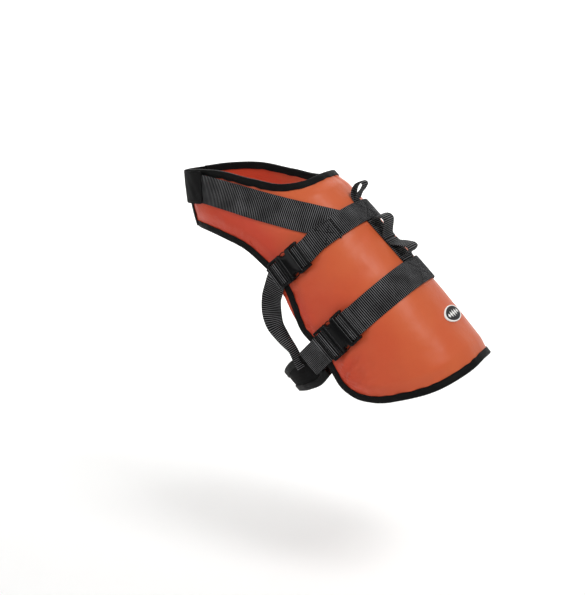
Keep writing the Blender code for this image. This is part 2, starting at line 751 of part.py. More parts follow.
def side_release_buckle(buckle):
    """A socket with a ladder frame, and its plug pushed home: down the strap is +X, outwards +Z."""
    name, inside = buckle.place, buckle.webbing / 2 + 1
    half = inside + FRAME_SIDE
    body_from = SOCKET_BACK + 2 * BAR + 2 * SLOT - 3
    socket = box(
        f"{name}_buckle_socket",
        (body_from, -half, 0),
        (SOCKET_MOUTH, half, BODY_HEIGHT),
        black_acetal(),
        bevel=2.5,
    )
    frame = box(
        f"{name}_socket_frame",
        (SOCKET_BACK, -half, BAR_LOW),
        (body_from + 6, half, BODY_HEIGHT),
        bevel=1.2,
    )
    join(socket, frame)
    rim, bar = SOCKET_BACK + BAR, SOCKET_FOLD - STRAP_BAR
    for number, (start, last, low, high) in enumerate(
        (
            (rim, bar, -5, 20),
            (SOCKET_FOLD, body_from, -5, 20),
            (bar - 0.5, SOCKET_FOLD + 0.5, BAR_HIGH, 20),
            (SOCKET_BACK - 5, rim + 0.5, -5, RIM_LOW),
        )
    ):
        cut(socket, box(f"{name}_socket_slot_{number}", (start, -inside, low), (last, inside, high)))
    cavity_end = body_from + 4
    low, high = CAVITY_LOW, CAVITY_HIGH
    cut(socket, box(f"{name}_cavity", (cavity_end, -inside + 1, low), (30, inside - 1, high)))
    for side in (-1, 1):
        edges = sorted((side * (inside - 5), side * (half + 5)))
        cut(
            socket,
            box(
                f"{name}_window_{side + 1}",
                (SOCKET_MOUTH - 17, edges[0], low - 0.5),
                (SOCKET_MOUTH - 5, edges[1], high + 0.5),
            ),
        )
    plug = box(
        f"{name}_buckle_plug",
        (SOCKET_MOUTH + PLAY, -half, 1.0),
        (PLUG_FOLD - STRAP_SLOT, half, BODY_HEIGHT - 1),
        black_acetal(),
        bevel=1.8,
    )
    tongue_z = (low + PLAY, high - PLAY)
    join(
        plug,
        box(
            f"{name}_plug_frame",
            (SOCKET_MOUTH + 4, -half, BAR_LOW),
            (PLUG_END, half, BODY_HEIGHT),
            bevel=1.2,
        ),
    )
    join(
        plug,
        box(
            f"{name}_tongue",
            (cavity_end + 2, -7, tongue_z[0]),
            (SOCKET_MOUTH + 4, 7, tongue_z[1]),
        ),
    )
    for side in (-1, 1):
        prong = sorted((side * (inside - 7), side * (inside - 1 - PLAY)))
        barb = sorted((side * (inside - 7), side * (half - 1.2)))
        join(
            plug,
            box(
                f"{name}_prong_{side + 1}",
                (SOCKET_MOUTH - 20, prong[0], tongue_z[0]),
                (SOCKET_MOUTH + 4.5, prong[1], tongue_z[1]),
            ),
        )
        join(
            plug,
            box(
                f"{name}_barb_{side + 1}",
                (SOCKET_MOUTH - 16.5, barb[0], tongue_z[0] + 0.1),
                (SOCKET_MOUTH - 5.5, barb[1], tongue_z[1] - 0.1),
            ),
        )
    rim, bar = PLUG_END - STRAP_BAR, PLUG_FOLD + STRAP_BAR
    for number, (start, last, low, high) in enumerate(
        (
            (PLUG_FOLD - STRAP_SLOT, PLUG_FOLD, -5, 20),
            (bar, rim, -5, 20),
            (PLUG_FOLD - 0.5, bar + 0.5, BAR_HIGH, 20),
            (rim - 0.5, PLUG_END + 5, -5, RIM_LOW),
        )
    ):
        cut(plug, box(f"{name}_plug_slot_{number}", (start, -inside, low), (last, inside, high)))
    middle, down, side, out = (Vector(v) for v in buckle_frame(buckle))
    place = Matrix((down, side, out)).transposed().to_4x4()
    place.translation = middle * MM
    for made in list(bpy.data.collections["cutters"].objects) + [socket, plug]:
        if made.name.startswith(name):
            made.matrix_world = place


# ---- the whole jacket ----


def clear_scene():
    for old in list(bpy.data.objects):
        bpy.data.objects.remove(old)
    for name in (OBJECT_NAME, "cutters"):
        bpy.context.scene.collection.children.link(bpy.data.collections.new(name))
    bpy.data.collections["cutters"].hide_render = True


def main():
    clear_scene()
    back_panel()
    back_bindings()
    neck_straps()
    spine_band()
    girth_straps()
    spine_loops()
    badge()
    belly()
    lower_straps()
    for buckle in BUCKLES:
        side_release_buckle(buckle)


main()
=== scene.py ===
"""Dog life jacket, closed as it is worn by a sitting dog: how it looks.

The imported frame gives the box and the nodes. Every piece here is a surface worked out on the trunk
that the jacket is cut for, in two coordinates: "along" runs down the spine from the origin, in
millimetres, and "around" runs from the spine over the left side, in degrees, so that 180 is the
middle of the belly. Shapes are worked out in millimetres and written to the meshes in metres.
"""

from dataclasses import dataclass, field
from enum import Enum
import logging
import math

import bpy
from mathutils import Matrix, Vector
import numpy as np


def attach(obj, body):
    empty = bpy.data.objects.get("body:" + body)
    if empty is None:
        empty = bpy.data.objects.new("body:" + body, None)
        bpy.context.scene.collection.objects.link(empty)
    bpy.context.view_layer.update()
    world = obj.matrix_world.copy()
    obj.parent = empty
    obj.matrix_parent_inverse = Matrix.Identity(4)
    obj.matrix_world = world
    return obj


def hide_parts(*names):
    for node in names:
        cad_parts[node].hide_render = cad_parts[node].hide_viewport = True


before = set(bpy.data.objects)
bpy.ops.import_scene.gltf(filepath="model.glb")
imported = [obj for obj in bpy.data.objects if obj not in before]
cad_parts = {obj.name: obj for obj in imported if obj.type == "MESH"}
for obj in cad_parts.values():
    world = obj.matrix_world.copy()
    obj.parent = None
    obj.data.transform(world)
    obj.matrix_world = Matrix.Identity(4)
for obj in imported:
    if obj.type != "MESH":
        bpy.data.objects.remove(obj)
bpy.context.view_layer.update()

MM = 0.001
BODY = "root"
log = logging.getLogger("life_jacket")

Array = np.ndarray
Node = bpy.types.ShaderNode


# ---- curves and noise ----


def spline(x: Array, xs: Array, ys: Array) -> Array:
    """A smooth curve through points: cubic pieces whose slope at a point is the mean of the slopes
    beside it, each weighted by the length of the other.

    Args:
        x: Where to read the curve.
        xs: The points' places, rising.
        ys: The points' values; further axes are read one by one.

    Returns:
        The curve's values, one row for each x.
    """
    x, xs, ys = np.asarray(x, float), np.asarray(xs, float), np.asarray(ys, float)
    shape = (-1,) + (1,) * (ys.ndim - 1)
    steps = np.diff(xs).reshape(shape)
    slopes = np.diff(ys, axis=0) / steps
    tangents = np.empty_like(ys)
    tangents[1:-1] = (slopes[:-1] * steps[1:] + slopes[1:] * steps[:-1]) / (steps[:-1] + steps[1:])
    tangents[0], tangents[-1] = slopes[0], slopes[-1]
    piece = np.clip(np.searchsorted(xs, x, side="right") - 1, 0, len(xs) - 2)
    step = steps[piece]
    t = ((x - xs[piece]) / np.diff(xs)[piece]).reshape(x.shape + (1,) * (ys.ndim - 1))
    if ys.ndim == 1:
        step = step.reshape(x.shape)
    start = (1 + 2 * t) * (1 - t) ** 2 * ys[piece] + t * (1 - t) ** 2 * step * tangents[piece]
    end = t**2 * (3 - 2 * t) * ys[piece + 1] + t**2 * (t - 1) * step * tangents[piece + 1]
    return start + end


def smooth_step(x: Array) -> Array:
    """Rises from 0 to 1 as x does, as 3 x squared less 2 x cubed."""
    x = np.clip(x, 0, 1)
    return x * x * (3 - 2 * x)


def unit(vectors: Array) -> Array:
    """The vectors, each made one long."""
    return vectors / np.maximum(np.linalg.norm(vectors, axis=-1, keepdims=True), 1e-12)


def lengths_along(points: Array) -> Array:
    """How far along a line of points each one is, from 0."""
    legs = np.linalg.norm(np.diff(points, axis=0), axis=-1)
    return np.concatenate([[0.0], np.cumsum(legs)])


def ripple(points: Array, size: float, seed: int, waves: int = 14) -> Array:
    """Smooth uneven noise about 0: a sum of sine waves in seeded random directions, each about
    size mm long.

    Args:
        points: Places, in mm, with their coordinates on the last axis.
        size: Mean wavelength in mm.
        seed: Picks the waves.
        waves: How many are summed.

    Returns:
        One value for each place, mostly within -1 to 1.
    """
    random = np.random.default_rng(seed)
    heading = unit(random.normal(size=(waves, points.shape[-1])))
    pitch = size * random.uniform(0.65, 1.6, waves)
    phase = random.uniform(0, 2 * math.pi, waves)
    turns = points @ (heading / pitch[:, None]).T * 2 * math.pi + phase
    return np.sin(turns).sum(-1) * math.sqrt(2 / waves) * 0.7


# ---- the trunk that the jacket is cut for ----


@dataclass(frozen=True)
class Section:
    """One cross-section of the trunk, in mm; lean is how far it turns from square to the spine, in
    degrees, and widest the share of its depth at which it is widest."""

    along: float
    lean: float
    depth: float
    half_width: float
    widest: float
    rise: float


@dataclass(frozen=True)
class Trunk:
    """The general shape that the jacket closes round."""

    pitch: float = 45.0
    flatness: float = 1.3
    sections: tuple[Section, ...] = (
        Section(-105, 48, 262, 80, 0.46, 0),
        Section(-62, 30, 285, 94, 0.44, 0),
        Section(-32, 16, 290, 102, 0.42, 0),
        Section(0, 5, 296, 107, 0.42, 0),
        Section(70, 2, 306, 111, 0.42, 0),
        Section(143, 0, 312, 114, 0.42, 0),
        Section(244, 0, 305, 117, 0.42, -3),
        Section(345, 0, 300, 118, 0.42, -9),
    )

    def value(self, along: Array, column: str) -> Array:
        """One of the sections' measures, read between them along a smooth curve."""
        places = [section.along for section in self.sections]
        return spline(along, places, [getattr(section, column) for section in self.sections])

    def surface(self, along: Array, around: Array) -> Array:
        """Points of the trunk. A section's half width goes with the sine of around; its drop below
        the spine is a flattened cosine down to the widest level, and a plain one below it.

        Args:
            along: Millimetres down the spine.
            around: Degrees from the spine over the left side.

        Returns:
            Points in mm, with x, y and z on the last axis.
        """
        along, turn = np.broadcast_arrays(np.asarray(along, float), np.radians(around))
        flat_along = along.reshape(-1)
        depth, widest, rise, width, lean = (
            self.value(flat_along, column).reshape(along.shape)
            for column in ("depth", "widest", "rise", "half_width", "lean")
        )
        level = np.cos(turn)
        over = widest * np.abs(1 - level) ** self.flatness
        down = np.where(level > 0, over, widest - (1 - widest) * level) * depth - rise
        pitch = math.radians(self.pitch)
        dip = math.pi / 2 - pitch - np.radians(lean)
        y = along * math.cos(pitch) - down * np.cos(dip)
        z = -along * math.sin(pitch) - down * np.sin(dip)
        return np.stack([width * np.sin(turn), y, z], axis=-1)

    def slopes(self, along: Array, around: Array) -> tuple[Array, Array]:
        """How a point moves for one mm along and for one degree around."""
        step = 0.5
        down = self.surface(along + step, around) - self.surface(along - step, around)
        over = self.surface(along, around + step) - self.surface(along, around - step)
        return down / (2 * step), over / (2 * step)

    def outward(self, along: Array, around: Array) -> Array:
        """The direction away from the trunk."""
        down, over = self.slopes(np.asarray(along, float), np.asarray(around, float))
        return unit(np.cross(over, down))

    def lifted(self, along: Array, around: Array, lift: Array) -> Array:
        """Points this many mm outside the trunk."""
        along, around, lift = np.broadcast_arrays(along, around, lift)
        return self.surface(along, around) + self.outward(along, around) * lift[..., None]

    def beside(self, path: Array, distance: Array) -> Array:
        """The (along, around) of points to the left of a path on the trunk.

        Args:
            path: Rows of along and around.
            distance: Millimetres to the left, or to the right where negative.

        Returns:
            Rows of along and around.
        """
        down, over = self.slopes(*path.T)
        heading = np.gradient(self.surface(*path.T), axis=0)
        side = unit(np.cross(self.outward(*path.T), heading))
        shift = np.einsum("nij,nj->ni", np.linalg.pinv(np.stack([down, over], axis=-1)), side)
        return path + shift * np.reshape(distance, (-1, 1))

    def around_at(self, along: Array, x: Array) -> Array:
        """The angle over the back at which the trunk is x mm from the spine's plane."""
        width = self.value(np.atleast_1d(np.asarray(along, float)), "half_width")
        return np.degrees(np.arcsin(x / width))

    def sampled(self, points: tuple, count: int, last_step: float | None = None) -> Array:
        """Rows along a smooth curve through points that start with along and around, spread evenly
        in mm, apart from a last step of its own. Further columns go straight from point to point.

        Args:
            points: Rows of along, around and any further values.
            count: How many rows to return.
            last_step: Length of the last step in mm, or None for an even one.

        Returns:
            An array of count rows.
        """
        rows = np.array(points, float)
        ends = lengths_along(self.surface(rows[:, 0], rows[:, 1]))
        at = np.linspace(0, ends[-1], count)
        if last_step is not None:
            at = np.append(np.linspace(0, ends[-1] - last_step, count - 1), ends[-1])
        curve = [spline(at, ends, column) for column in rows.T[:2]]
        return np.stack(curve + [np.interp(at, ends, column) for column in rows.T[2:]], axis=-1)


TRUNK = Trunk()


def whole_edge(half: Array) -> Array:
    """A whole edge from its left half: right end first, through the spine or the belly's middle."""
    other = half[:0:-1].copy()
    other[:, 1] = 2 * half[0, 1] - other[:, 1]
    return np.concatenate([other, half])


# ---- meshes ----


def grid_quads(rows: int, columns: int) -> Array:
    """Four point numbers for each cell of a grid whose points are numbered row by row."""
    first = (np.arange(rows - 1)[:, None] * columns + np.arange(columns - 1)).reshape(-1)
    return np.stack([first, first + 1, first + columns + 1, first + columns], axis=-1)


class Form:
    """The points and faces of one piece, gathered from closed surfaces."""

    def __init__(self) -> None:
        """Starts with nothing in it."""
        self.points: list[Array] = []
        self.uvs: list[Array] = []
        self.quads: list[Array] = []
        self.count = 0

    def add(self, points: Array, quads: Array, uv: Array | None = None) -> None:
        """Adds a closed surface.

        Args:
            points: Places in mm, one row each.
            quads: Four point numbers a row.
            uv: Two pattern coordinates in mm for each point, or None for zeros.
        """
        points = points.reshape(-1, 3)
        volume = np.einsum(
            "ij,ij->i",
            points[quads[:, 0]],
            np.cross(points[quads[:, 1]], points[quads[:, 2]])
            + np.cross(points[quads[:, 2]], points[quads[:, 3]]),
        ).sum()
        if volume < 0:
            quads = quads[:, ::-1]
        self.points.append(points)
        self.uvs.append(np.zeros((len(points), 2)) if uv is None else uv.reshape(-1, 2))
        self.quads.append(quads + self.count)
        self.count += len(points)

    def slab(self, inner: Array, outer: Array, uv: Array | None = None) -> None:
        """Adds the closed surface between two grids of points, with a wall round the rim."""
        rows, columns = inner.shape[:2]
        size = rows * columns
        below = grid_quads(rows, columns)
        number = np.arange(size).reshape(rows, columns)
        rim = [number[0, :-1], number[:-1, -1], number[-1, :0:-1], number[:0:-1, 0]]
        rim = np.concatenate(rim)
        after = np.roll(rim, -1)
        walls = np.stack([rim, after, after + size, rim + size], axis=-1)
        both = None if uv is None else np.concatenate([uv.reshape(-1, 2)] * 2)
        points = np.concatenate([inner.reshape(-1, 3), outer.reshape(-1, 3)])
        self.add(points, np.concatenate([below[:, ::-1], below + size, walls]), both)

    def tube(self, sections: Array, uv: Array | None = None) -> None:
        """Adds the closed surface through equal rings of points, with each end drawn in to its
        middle."""
        rows, sides = sections.shape[:2]
        ends = [np.repeat(sections[i].mean(0)[None], sides, 0)[None] for i in (0, -1)]
        rings = np.concatenate([ends[0], sections, ends[1]])
        number = np.arange((rows + 2) * sides).reshape(rows + 2, sides)
        looped = np.concatenate([number, number[:, :1]], axis=1).reshape(-1)
        quads = looped[grid_quads(rows + 2, sides + 1)]
        if uv is not None:
            uv = np.concatenate([uv[:1], uv, uv[-1:]])
        self.add(rings, quads, uv)

    def build(self, name: str, finish: "Finish") -> bpy.types.Object:
        """Makes the mesh object, smooth apart from its sharp edges.

        Args:
            name: Name of the object.
            finish: Its material.

        Returns:
            The object, at the origin, with its place in its mesh.
        """
        points, quads = np.concatenate(self.points) * MM, np.concatenate(self.quads)
        mesh = bpy.data.meshes.new(name)
        mesh.vertices.add(len(points))
        mesh.vertices.foreach_set("co", points.astype(np.float32).reshape(-1))
        mesh.loops.add(quads.size)
        mesh.loops.foreach_set("vertex_index", quads.astype(np.int32).reshape(-1))
        mesh.polygons.add(len(quads))
        mesh.polygons.foreach_set("loop_start", np.arange(0, quads.size, 4, dtype=np.int32))
        mesh.update(calc_edges=True)
        layer = mesh.uv_layers.new(name="pattern")
        uvs = np.concatenate(self.uvs)[quads.reshape(-1)]
        layer.data.foreach_set("uv", uvs.astype(np.float32).reshape(-1))
        if mesh.validate():
            log.warning("%s had faces that were put right", name)
        mesh.shade_smooth()
        mesh.set_sharp_from_angle(angle=math.radians(finish.sharp))
        mesh.materials.append(finish.material())
        piece = bpy.data.objects.new(name, mesh)
        bpy.context.scene.collection.objects.link(piece)
        return piece


# ---- materials ----


def linear(colour: str) -> tuple[float, float, float, float]:
    """A hex sRGB colour as linear red, green, blue and alpha: each channel above 0.04 is shifted
    by 0.055, scaled back and raised to the power 2.4, and below it divided by 12.92."""
    parts = [int(colour[i : i + 2], 16) / 255 for i in (1, 3, 5)]
    line = [p / 12.92 if p <= 0.04045 else ((p + 0.055) / 1.055) ** 2.4 for p in parts]
    return (line[0], line[1], line[2], 1.0)


def add_node(tree: bpy.types.NodeTree, kind: str, inputs: dict | None = None, **settings) -> Node:
    """Adds a shader node.

    Args:
        tree: Where it goes.
        kind: Its type.
        inputs: A value or another node's output for each input, by name or number.
        **settings: Its own properties.

    Returns:
        The node.
    """
    node = tree.nodes.new(kind)
    for key, value in settings.items():
        setattr(node, key, value)
    for key, value in (inputs or {}).items():
        if isinstance(value, bpy.types.NodeSocket):
            tree.links.new(value, node.inputs[key])
        else:
            node.inputs[key].default_value = value
    return node


def math_chain(tree: bpy.types.NodeTree, start: object, *steps: tuple) -> bpy.types.NodeSocket:
    """Sends a value through math steps in turn.

    Args:
        tree: Where the nodes go.
        start: A socket or a number.
        *steps: Each a math operation and the numbers or sockets that follow the running value.

    Returns:
        The last step's output.
    """
    value = start
    for operation, *others in steps:
        inputs = {0: value, **{i + 1: other for i, other in enumerate(others)}}
        value = add_node(tree, "ShaderNodeMath", inputs, operation=operation).outputs[0]
    return value


@dataclass(frozen=True)
class Finish:
    """What every finish has: a name, two colours to vary between and how rough it is."""

    name: str
    dark: str
    light: str
    roughness: float
    ior: float = 1.5
    gloss: float = 0.5
    sharp: float = 40.0

    def material(self) -> bpy.types.Material:
        """The material, made once."""
        found = bpy.data.materials.get(self.name)
        if found:
            return found
        made = bpy.data.materials.new(self.name)
        made.use_nodes = True
        tree = made.node_tree
        shader = tree.nodes["Principled BSDF"]
        shader.inputs["Roughness"].default_value = self.roughness
        shader.inputs["IOR"].default_value = self.ior
        shader.inputs["Specular IOR Level"].default_value = self.gloss
        self.dress(tree, shader)
        return made

    def dress(self, tree: bpy.types.NodeTree, shader: Node) -> None:
        """Links the finish's own pattern."""
        raise NotImplementedError

    def places(self, tree: bpy.types.NodeTree) -> bpy.types.NodeSocket:
        """Object coordinates, in metres."""
        return add_node(tree, "ShaderNodeTexCoord").outputs["Object"]

    def pattern(self, tree: bpy.types.NodeTree) -> tuple:
        """The piece's own two pattern coordinates, in mm."""
        uv = add_node(tree, "ShaderNodeUVMap", uv_map="pattern").outputs[0]
        parts = add_node(tree, "ShaderNodeSeparateXYZ", {0: uv})
        return parts.outputs[0], parts.outputs[1]

    def noise(self, tree: bpy.types.NodeTree, size_mm: float, detail: float = 3) -> object:
        """Soft noise with features of this size, from 0 to 1."""
        inputs = {"Vector": self.places(tree), "Scale": 1000 / size_mm, "Detail": detail}
        return add_node(tree, "ShaderNodeTexNoise", inputs).outputs[0]

    def colours(self, tree: bpy.types.NodeTree, share: object) -> bpy.types.NodeSocket:
        """The dark and the light colour mixed by a share."""
        inputs = {0: share, 6: linear(self.dark), 7: linear(self.light)}
        return add_node(tree, "ShaderNodeMix", inputs, data_type="RGBA").outputs[2]

    def bump(self, tree: bpy.types.NodeTree, shader: Node, *layers: tuple) -> None:
        """Links bump from layers of height from 0 to 1.

        Args:
            tree: Where the nodes go.
            shader: The shader that takes the normal.
            *layers: Each a height socket and its depth in mm.
        """
        normal = None
        for height, depth in layers:
            inputs = {"Height": height, "Strength": 1.0, "Distance": depth * MM}
            if normal is not None:
                inputs["Normal"] = normal
            normal = add_node(tree, "ShaderNodeBump", inputs).outputs[0]
        tree.links.new(normal, shader.inputs["Normal"])

    def wave(self, tree: bpy.types.NodeTree, value: object, pitch: float) -> bpy.types.NodeSocket:
        """A sine from 0 to 1 along a coordinate in mm, one wave a pitch."""
        turn = 2 * math.pi / pitch
        steps = (("MULTIPLY", turn), ("SINE",), ("MULTIPLY_ADD", 0.5, 0.5))
        return math_chain(tree, value, *steps)


@dataclass(frozen=True)
class CoatedNylon(Finish):
    """Polyurethane-coated oxford nylon: a plain weave under a smooth coat, so that light slides
    off its creases in soft streaks."""

    thread: float = 1.1  # real threads are 0.4 mm apart, too fine to show
    painted_light_to: float = 270.0  # painted light: the back is painted paler than the sides, as if lit from above, and the sides darker as if in shade
    painted_light_over: float = 190.0

    def dress(self, tree: bpy.types.NodeTree, shader: Node) -> None:
        """Slow changes of colour, with painted light that makes the back paler than the sides, a fine plain
        weave and small creases.
        """
        u, v = self.pattern(tree)
        # painted light and shade: the share rises towards the spine, so the back is painted lit and the
        # sides shaded; random tone is added to it below
        painted_light = math_chain(
            tree, u, ("ABSOLUTE",), ("SUBTRACT", self.painted_light_to), ("MULTIPLY", -1 / self.painted_light_over)
        )
        painted_light = math_chain(tree, painted_light, ("MINIMUM", 1.0), ("MAXIMUM", 0.0))
        share = math_chain(tree, self.noise(tree, 110, 2), ("MULTIPLY_ADD", 1.1, -0.55), ("ADD", painted_light))
        tree.links.new(self.colours(tree, share), shader.inputs["Base Color"])
        weave = math_chain(
            tree,
            self.wave(tree, u, self.thread),
            ("MULTIPLY", self.wave(tree, v, self.thread)),
        )
        rough = math_chain(tree, self.noise(tree, 30), ("MULTIPLY_ADD", 0.14, self.roughness - 0.07))
        tree.links.new(rough, shader.inputs["Roughness"])
        self.bump(tree, shader, (weave, 0.05), (self.noise(tree, 22, 4), 0.9))


@dataclass(frozen=True)
class RibbedWebbing(Finish):
    """Nylon webbing: ribs straight across it, whose crests catch the light, over a tight weave."""

    rib: float = 3.5  # real ribs are 2.7 mm apart, drawn coarser so that they show

    def dress(self, tree: bpy.types.NodeTree, shader: Node) -> None:
        """Crests are painted in the light colour, a painted highlight that is partly wear; threads run
        across each rib.
        """
        u, v = self.pattern(tree)
        crest = self.wave(tree, u, self.rib)
        worn = math_chain(tree, self.noise(tree, 30, 1), ("MULTIPLY_ADD", 1.1, 0.15))
        # painted highlight: the rib crests are painted lighter where they would catch the light, partly
        # wear; the noise varies it at random
        share = math_chain(tree, crest, ("POWER", 5.0), ("MULTIPLY", worn))
        tree.links.new(self.colours(tree, share), shader.inputs["Base Color"])
        threads = self.wave(tree, v, 1.5)
        self.bump(tree, shader, (threads, 0.12), (self.noise(tree, 2.5, 2), 0.12))


@dataclass(frozen=True)
class WovenTape(Finish):
    """Binding tape: a slanting twill, flat and matte."""

    thread: float = 1.6

    def dress(self, tree: bpy.types.NodeTree, shader: Node) -> None:
        """Slanting threads a little lighter than the ground."""
        u, v = self.pattern(tree)
        slant = math_chain(tree, u, ("MULTIPLY_ADD", 0.8, v))
        threads = self.wave(tree, slant, self.thread)
        worn = math_chain(tree, self.noise(tree, 18), ("MULTIPLY", threads))
        tree.links.new(self.colours(tree, worn), shader.inputs["Base Color"])
        self.bump(tree, shader, (threads, 0.12), (self.noise(tree, 6, 3), 0.3))


@dataclass(frozen=True)
class ClosureTape(Finish):
    """The smooth back of hook-and-loop tape: a tight knit with a faint grain along it."""

    def dress(self, tree: bpy.types.NodeTree, shader: Node) -> None:
        """A fine knit of rows 1.2 mm apart and soft wear."""
        u, v = self.pattern(tree)
        knit = math_chain(tree, self.wave(tree, v, 1.2), ("MULTIPLY", self.wave(tree, u, 1.8)))
        tree.links.new(self.colours(tree, self.noise(tree, 35)), shader.inputs["Base Color"])
        self.bump(tree, shader, (knit, 0.1), (self.noise(tree, 3, 3), 0.15))


@dataclass(frozen=True)
class PaddedMesh(Finish):
    """Spacer mesh: small round holes in a soft knitted face."""

    hole: float = 3.0

    def dress(self, tree: bpy.types.NodeTree, shader: Node) -> None:
        """Staggered holes, darker than the face."""
        u, v = self.pattern(tree)
        half = math_chain(tree, u, ("MULTIPLY", 0.5))
        holes = math_chain(
            tree,
            self.wave(tree, math_chain(tree, half, ("ADD", v)), self.hole),
            ("MULTIPLY", self.wave(tree, math_chain(tree, half, ("SUBTRACT", v)), self.hole)),
        )
        share = math_chain(tree, holes, ("SUBTRACT", 1.0), ("MULTIPLY", -1.0))
        tree.links.new(self.colours(tree, share), shader.inputs["Base Color"])
        self.bump(tree, shader, (share, 0.35), (self.noise(tree, 30, 3), 1.0))


@dataclass(frozen=True)
class MouldedAcetal(Finish):
    """Injection-moulded acetal: satin, with the fine spark grain of its mould."""

    def dress(self, tree: bpy.types.NodeTree, shader: Node) -> None:
        """Fine grain and faint handling marks in the gloss."""
        tree.links.new(self.colours(tree, self.noise(tree, 14)), shader.inputs["Base Color"])
        rough = math_chain(tree, self.noise(tree, 9), ("MULTIPLY_ADD", 0.16, self.roughness - 0.08))
        tree.links.new(rough, shader.inputs["Roughness"])
        self.bump(tree, shader, (self.noise(tree, 0.9, 2), 0.03))


@dataclass(frozen=True)
class SewingThread(Finish):
    """Bonded polyester thread: two plies that twist round each other."""

    def dress(self, tree: bpy.types.NodeTree, shader: Node) -> None:
        """The plies' slant as lighter and darker bands."""
        u, v = self.pattern(tree)
        ply = self.wave(tree, math_chain(tree, u, ("MULTIPLY_ADD", 1.0, v)), 1.1)
        tree.links.new(self.colours(tree, ply), shader.inputs["Base Color"])
        self.bump(tree, shader, (ply, 0.06))


@dataclass(frozen=True)
class PatchRubber(Finish):
    """Moulded soft rubber in two colours: a dark ground with a raised pale rim and a row of
    lozenges. The
    pattern coordinates run across the oval and along it, in mm from its middle."""

    half_width: float = 36.0
    half_length: float = 15.5
    rim: float = 0.87
    lozenges: tuple[tuple[float, float], ...] = (
        (-21.0, 4.4), (-10.6, 6.4), (0.0, 7.4), (10.6, 6.4), (21.0, 4.4),
    )
    lozenge_half: float = 4.7

    def raised(self, x: Array, y: Array) -> Array:
        """How far each place belongs to the rim or a lozenge, from 0 to 1."""
        reach = np.hypot(x / self.half_width, y / self.half_length)
        height = smooth_step((reach - self.rim + 0.03) / 0.04)
        for middle, tall in self.lozenges:
            inside = 1.06 - np.abs(x - middle) / self.lozenge_half - np.abs(y) / tall
            height = np.maximum(height, smooth_step(inside / 0.12))
        return height

    def dress(self, tree: bpy.types.NodeTree, shader: Node) -> None:
        """Pale where the rim and the lozenges stand, from the same sums as their shape."""
        x, y = self.pattern(tree)
        across = math_chain(tree, x, ("DIVIDE", self.half_width), ("POWER", 2.0))
        down = math_chain(tree, y, ("DIVIDE", self.half_length), ("POWER", 2.0))
        reach = math_chain(tree, across, ("ADD", down), ("SQRT",))
        mask = math_chain(tree, reach, ("SUBTRACT", self.rim - 0.01), ("MULTIPLY", 50.0))
        height = math_chain(tree, y, ("ABSOLUTE",))
        for middle, tall in self.lozenges:
            aside = math_chain(tree, x, ("SUBTRACT", middle), ("ABSOLUTE",))
            spent = math_chain(tree, aside, ("DIVIDE", self.lozenge_half))
            share = math_chain(tree, height, ("DIVIDE", tall), ("ADD", spent))
            inside = math_chain(tree, share, ("MULTIPLY", -20.0), ("ADD", 20.0))
            mask = math_chain(tree, inside, ("MAXIMUM", mask))
        share = math_chain(tree, mask, ("MINIMUM", 1.0), ("MAXIMUM", 0.0))
        tree.links.new(self.colours(tree, share), shader.inputs["Base Color"])
        self.bump(tree, shader, (self.noise(tree, 1.5, 2), 0.05))


@dataclass(frozen=True)
class StudioPaint(Finish):
    """Matte white paint on the studio floor."""

    def dress(self, tree: bpy.types.NodeTree, shader: Node) -> None:
        """A faint cloudiness."""
        tree.links.new(self.colours(tree, self.noise(tree, 900, 1)), shader.inputs["Base Color"])


# Orange: the dark colour is painted shade on the sides and the light colour painted light on the back,
# mixed with random tone.
ORANGE = CoatedNylon("orange_coated_nylon_cloth", "#C4422A", "#CC6139", 0.4, gloss=0.24)
# Webbing: the light colour is a painted highlight on the rib crests, partly wear.
WEBBING = RibbedWebbing("black_ribbed_webbing", "#010101", "#8E8E90", 0.6, gloss=0.04)
TAPE = WovenTape("black_binding_twill", "#050505", "#191919", 0.55, gloss=0.1)
CLOSURE = ClosureTape("black_closure_tape", "#060606", "#121213", 0.65, gloss=0.1)
BELLY_MESH = PaddedMesh("black_spacer_mesh", "#030303", "#0D0D0E", 0.7, gloss=0.06)
ACETAL = MouldedAcetal("black_moulded_acetal", "#020203", "#050506", 0.12, ior=1.48, gloss=0.16, sharp=32)
THREAD = SewingThread("black_bonded_thread", "#010101", "#080808", 0.45, gloss=0.12)
PATCH = PatchRubber("patch_rubber", "#050506", "#EFEEEA", 0.45, gloss=0.2)
FLOOR = StudioPaint("studio_white", "#F4F4F3", "#FBFBFA", 0.8)


class Slot(Enum):
    """The record's material slots."""

    PANEL = "orange_coated_nylon"
    WEBBING = "black_webbing"
    BINDING = "black_binding_tape"
    CLOSURE = "black_closure"
    BELLY = "black_belly_cloth"
    BUCKLE = "black_acetal"
    BADGE = "badge_rubber"


def place(piece: bpy.types.Object, slot: Slot, *nodes: str) -> bpy.types.Object:
    """Puts a finished piece on the body and says what it stands for.

    Args:
        piece: The finished piece.
        slot: Its slot of the record; not used.
        *nodes: The CAD nodes that it replaces.

    Returns:
        The same piece.
    """
    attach(piece, BODY)
    if nodes:
        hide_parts(*nodes)
    faces = len(piece.data.polygons)
    log.info("%s: %d faces, stands for %s", piece.name, faces, ", ".join(nodes) or "no node")
    return piece


# ---- sewing ----


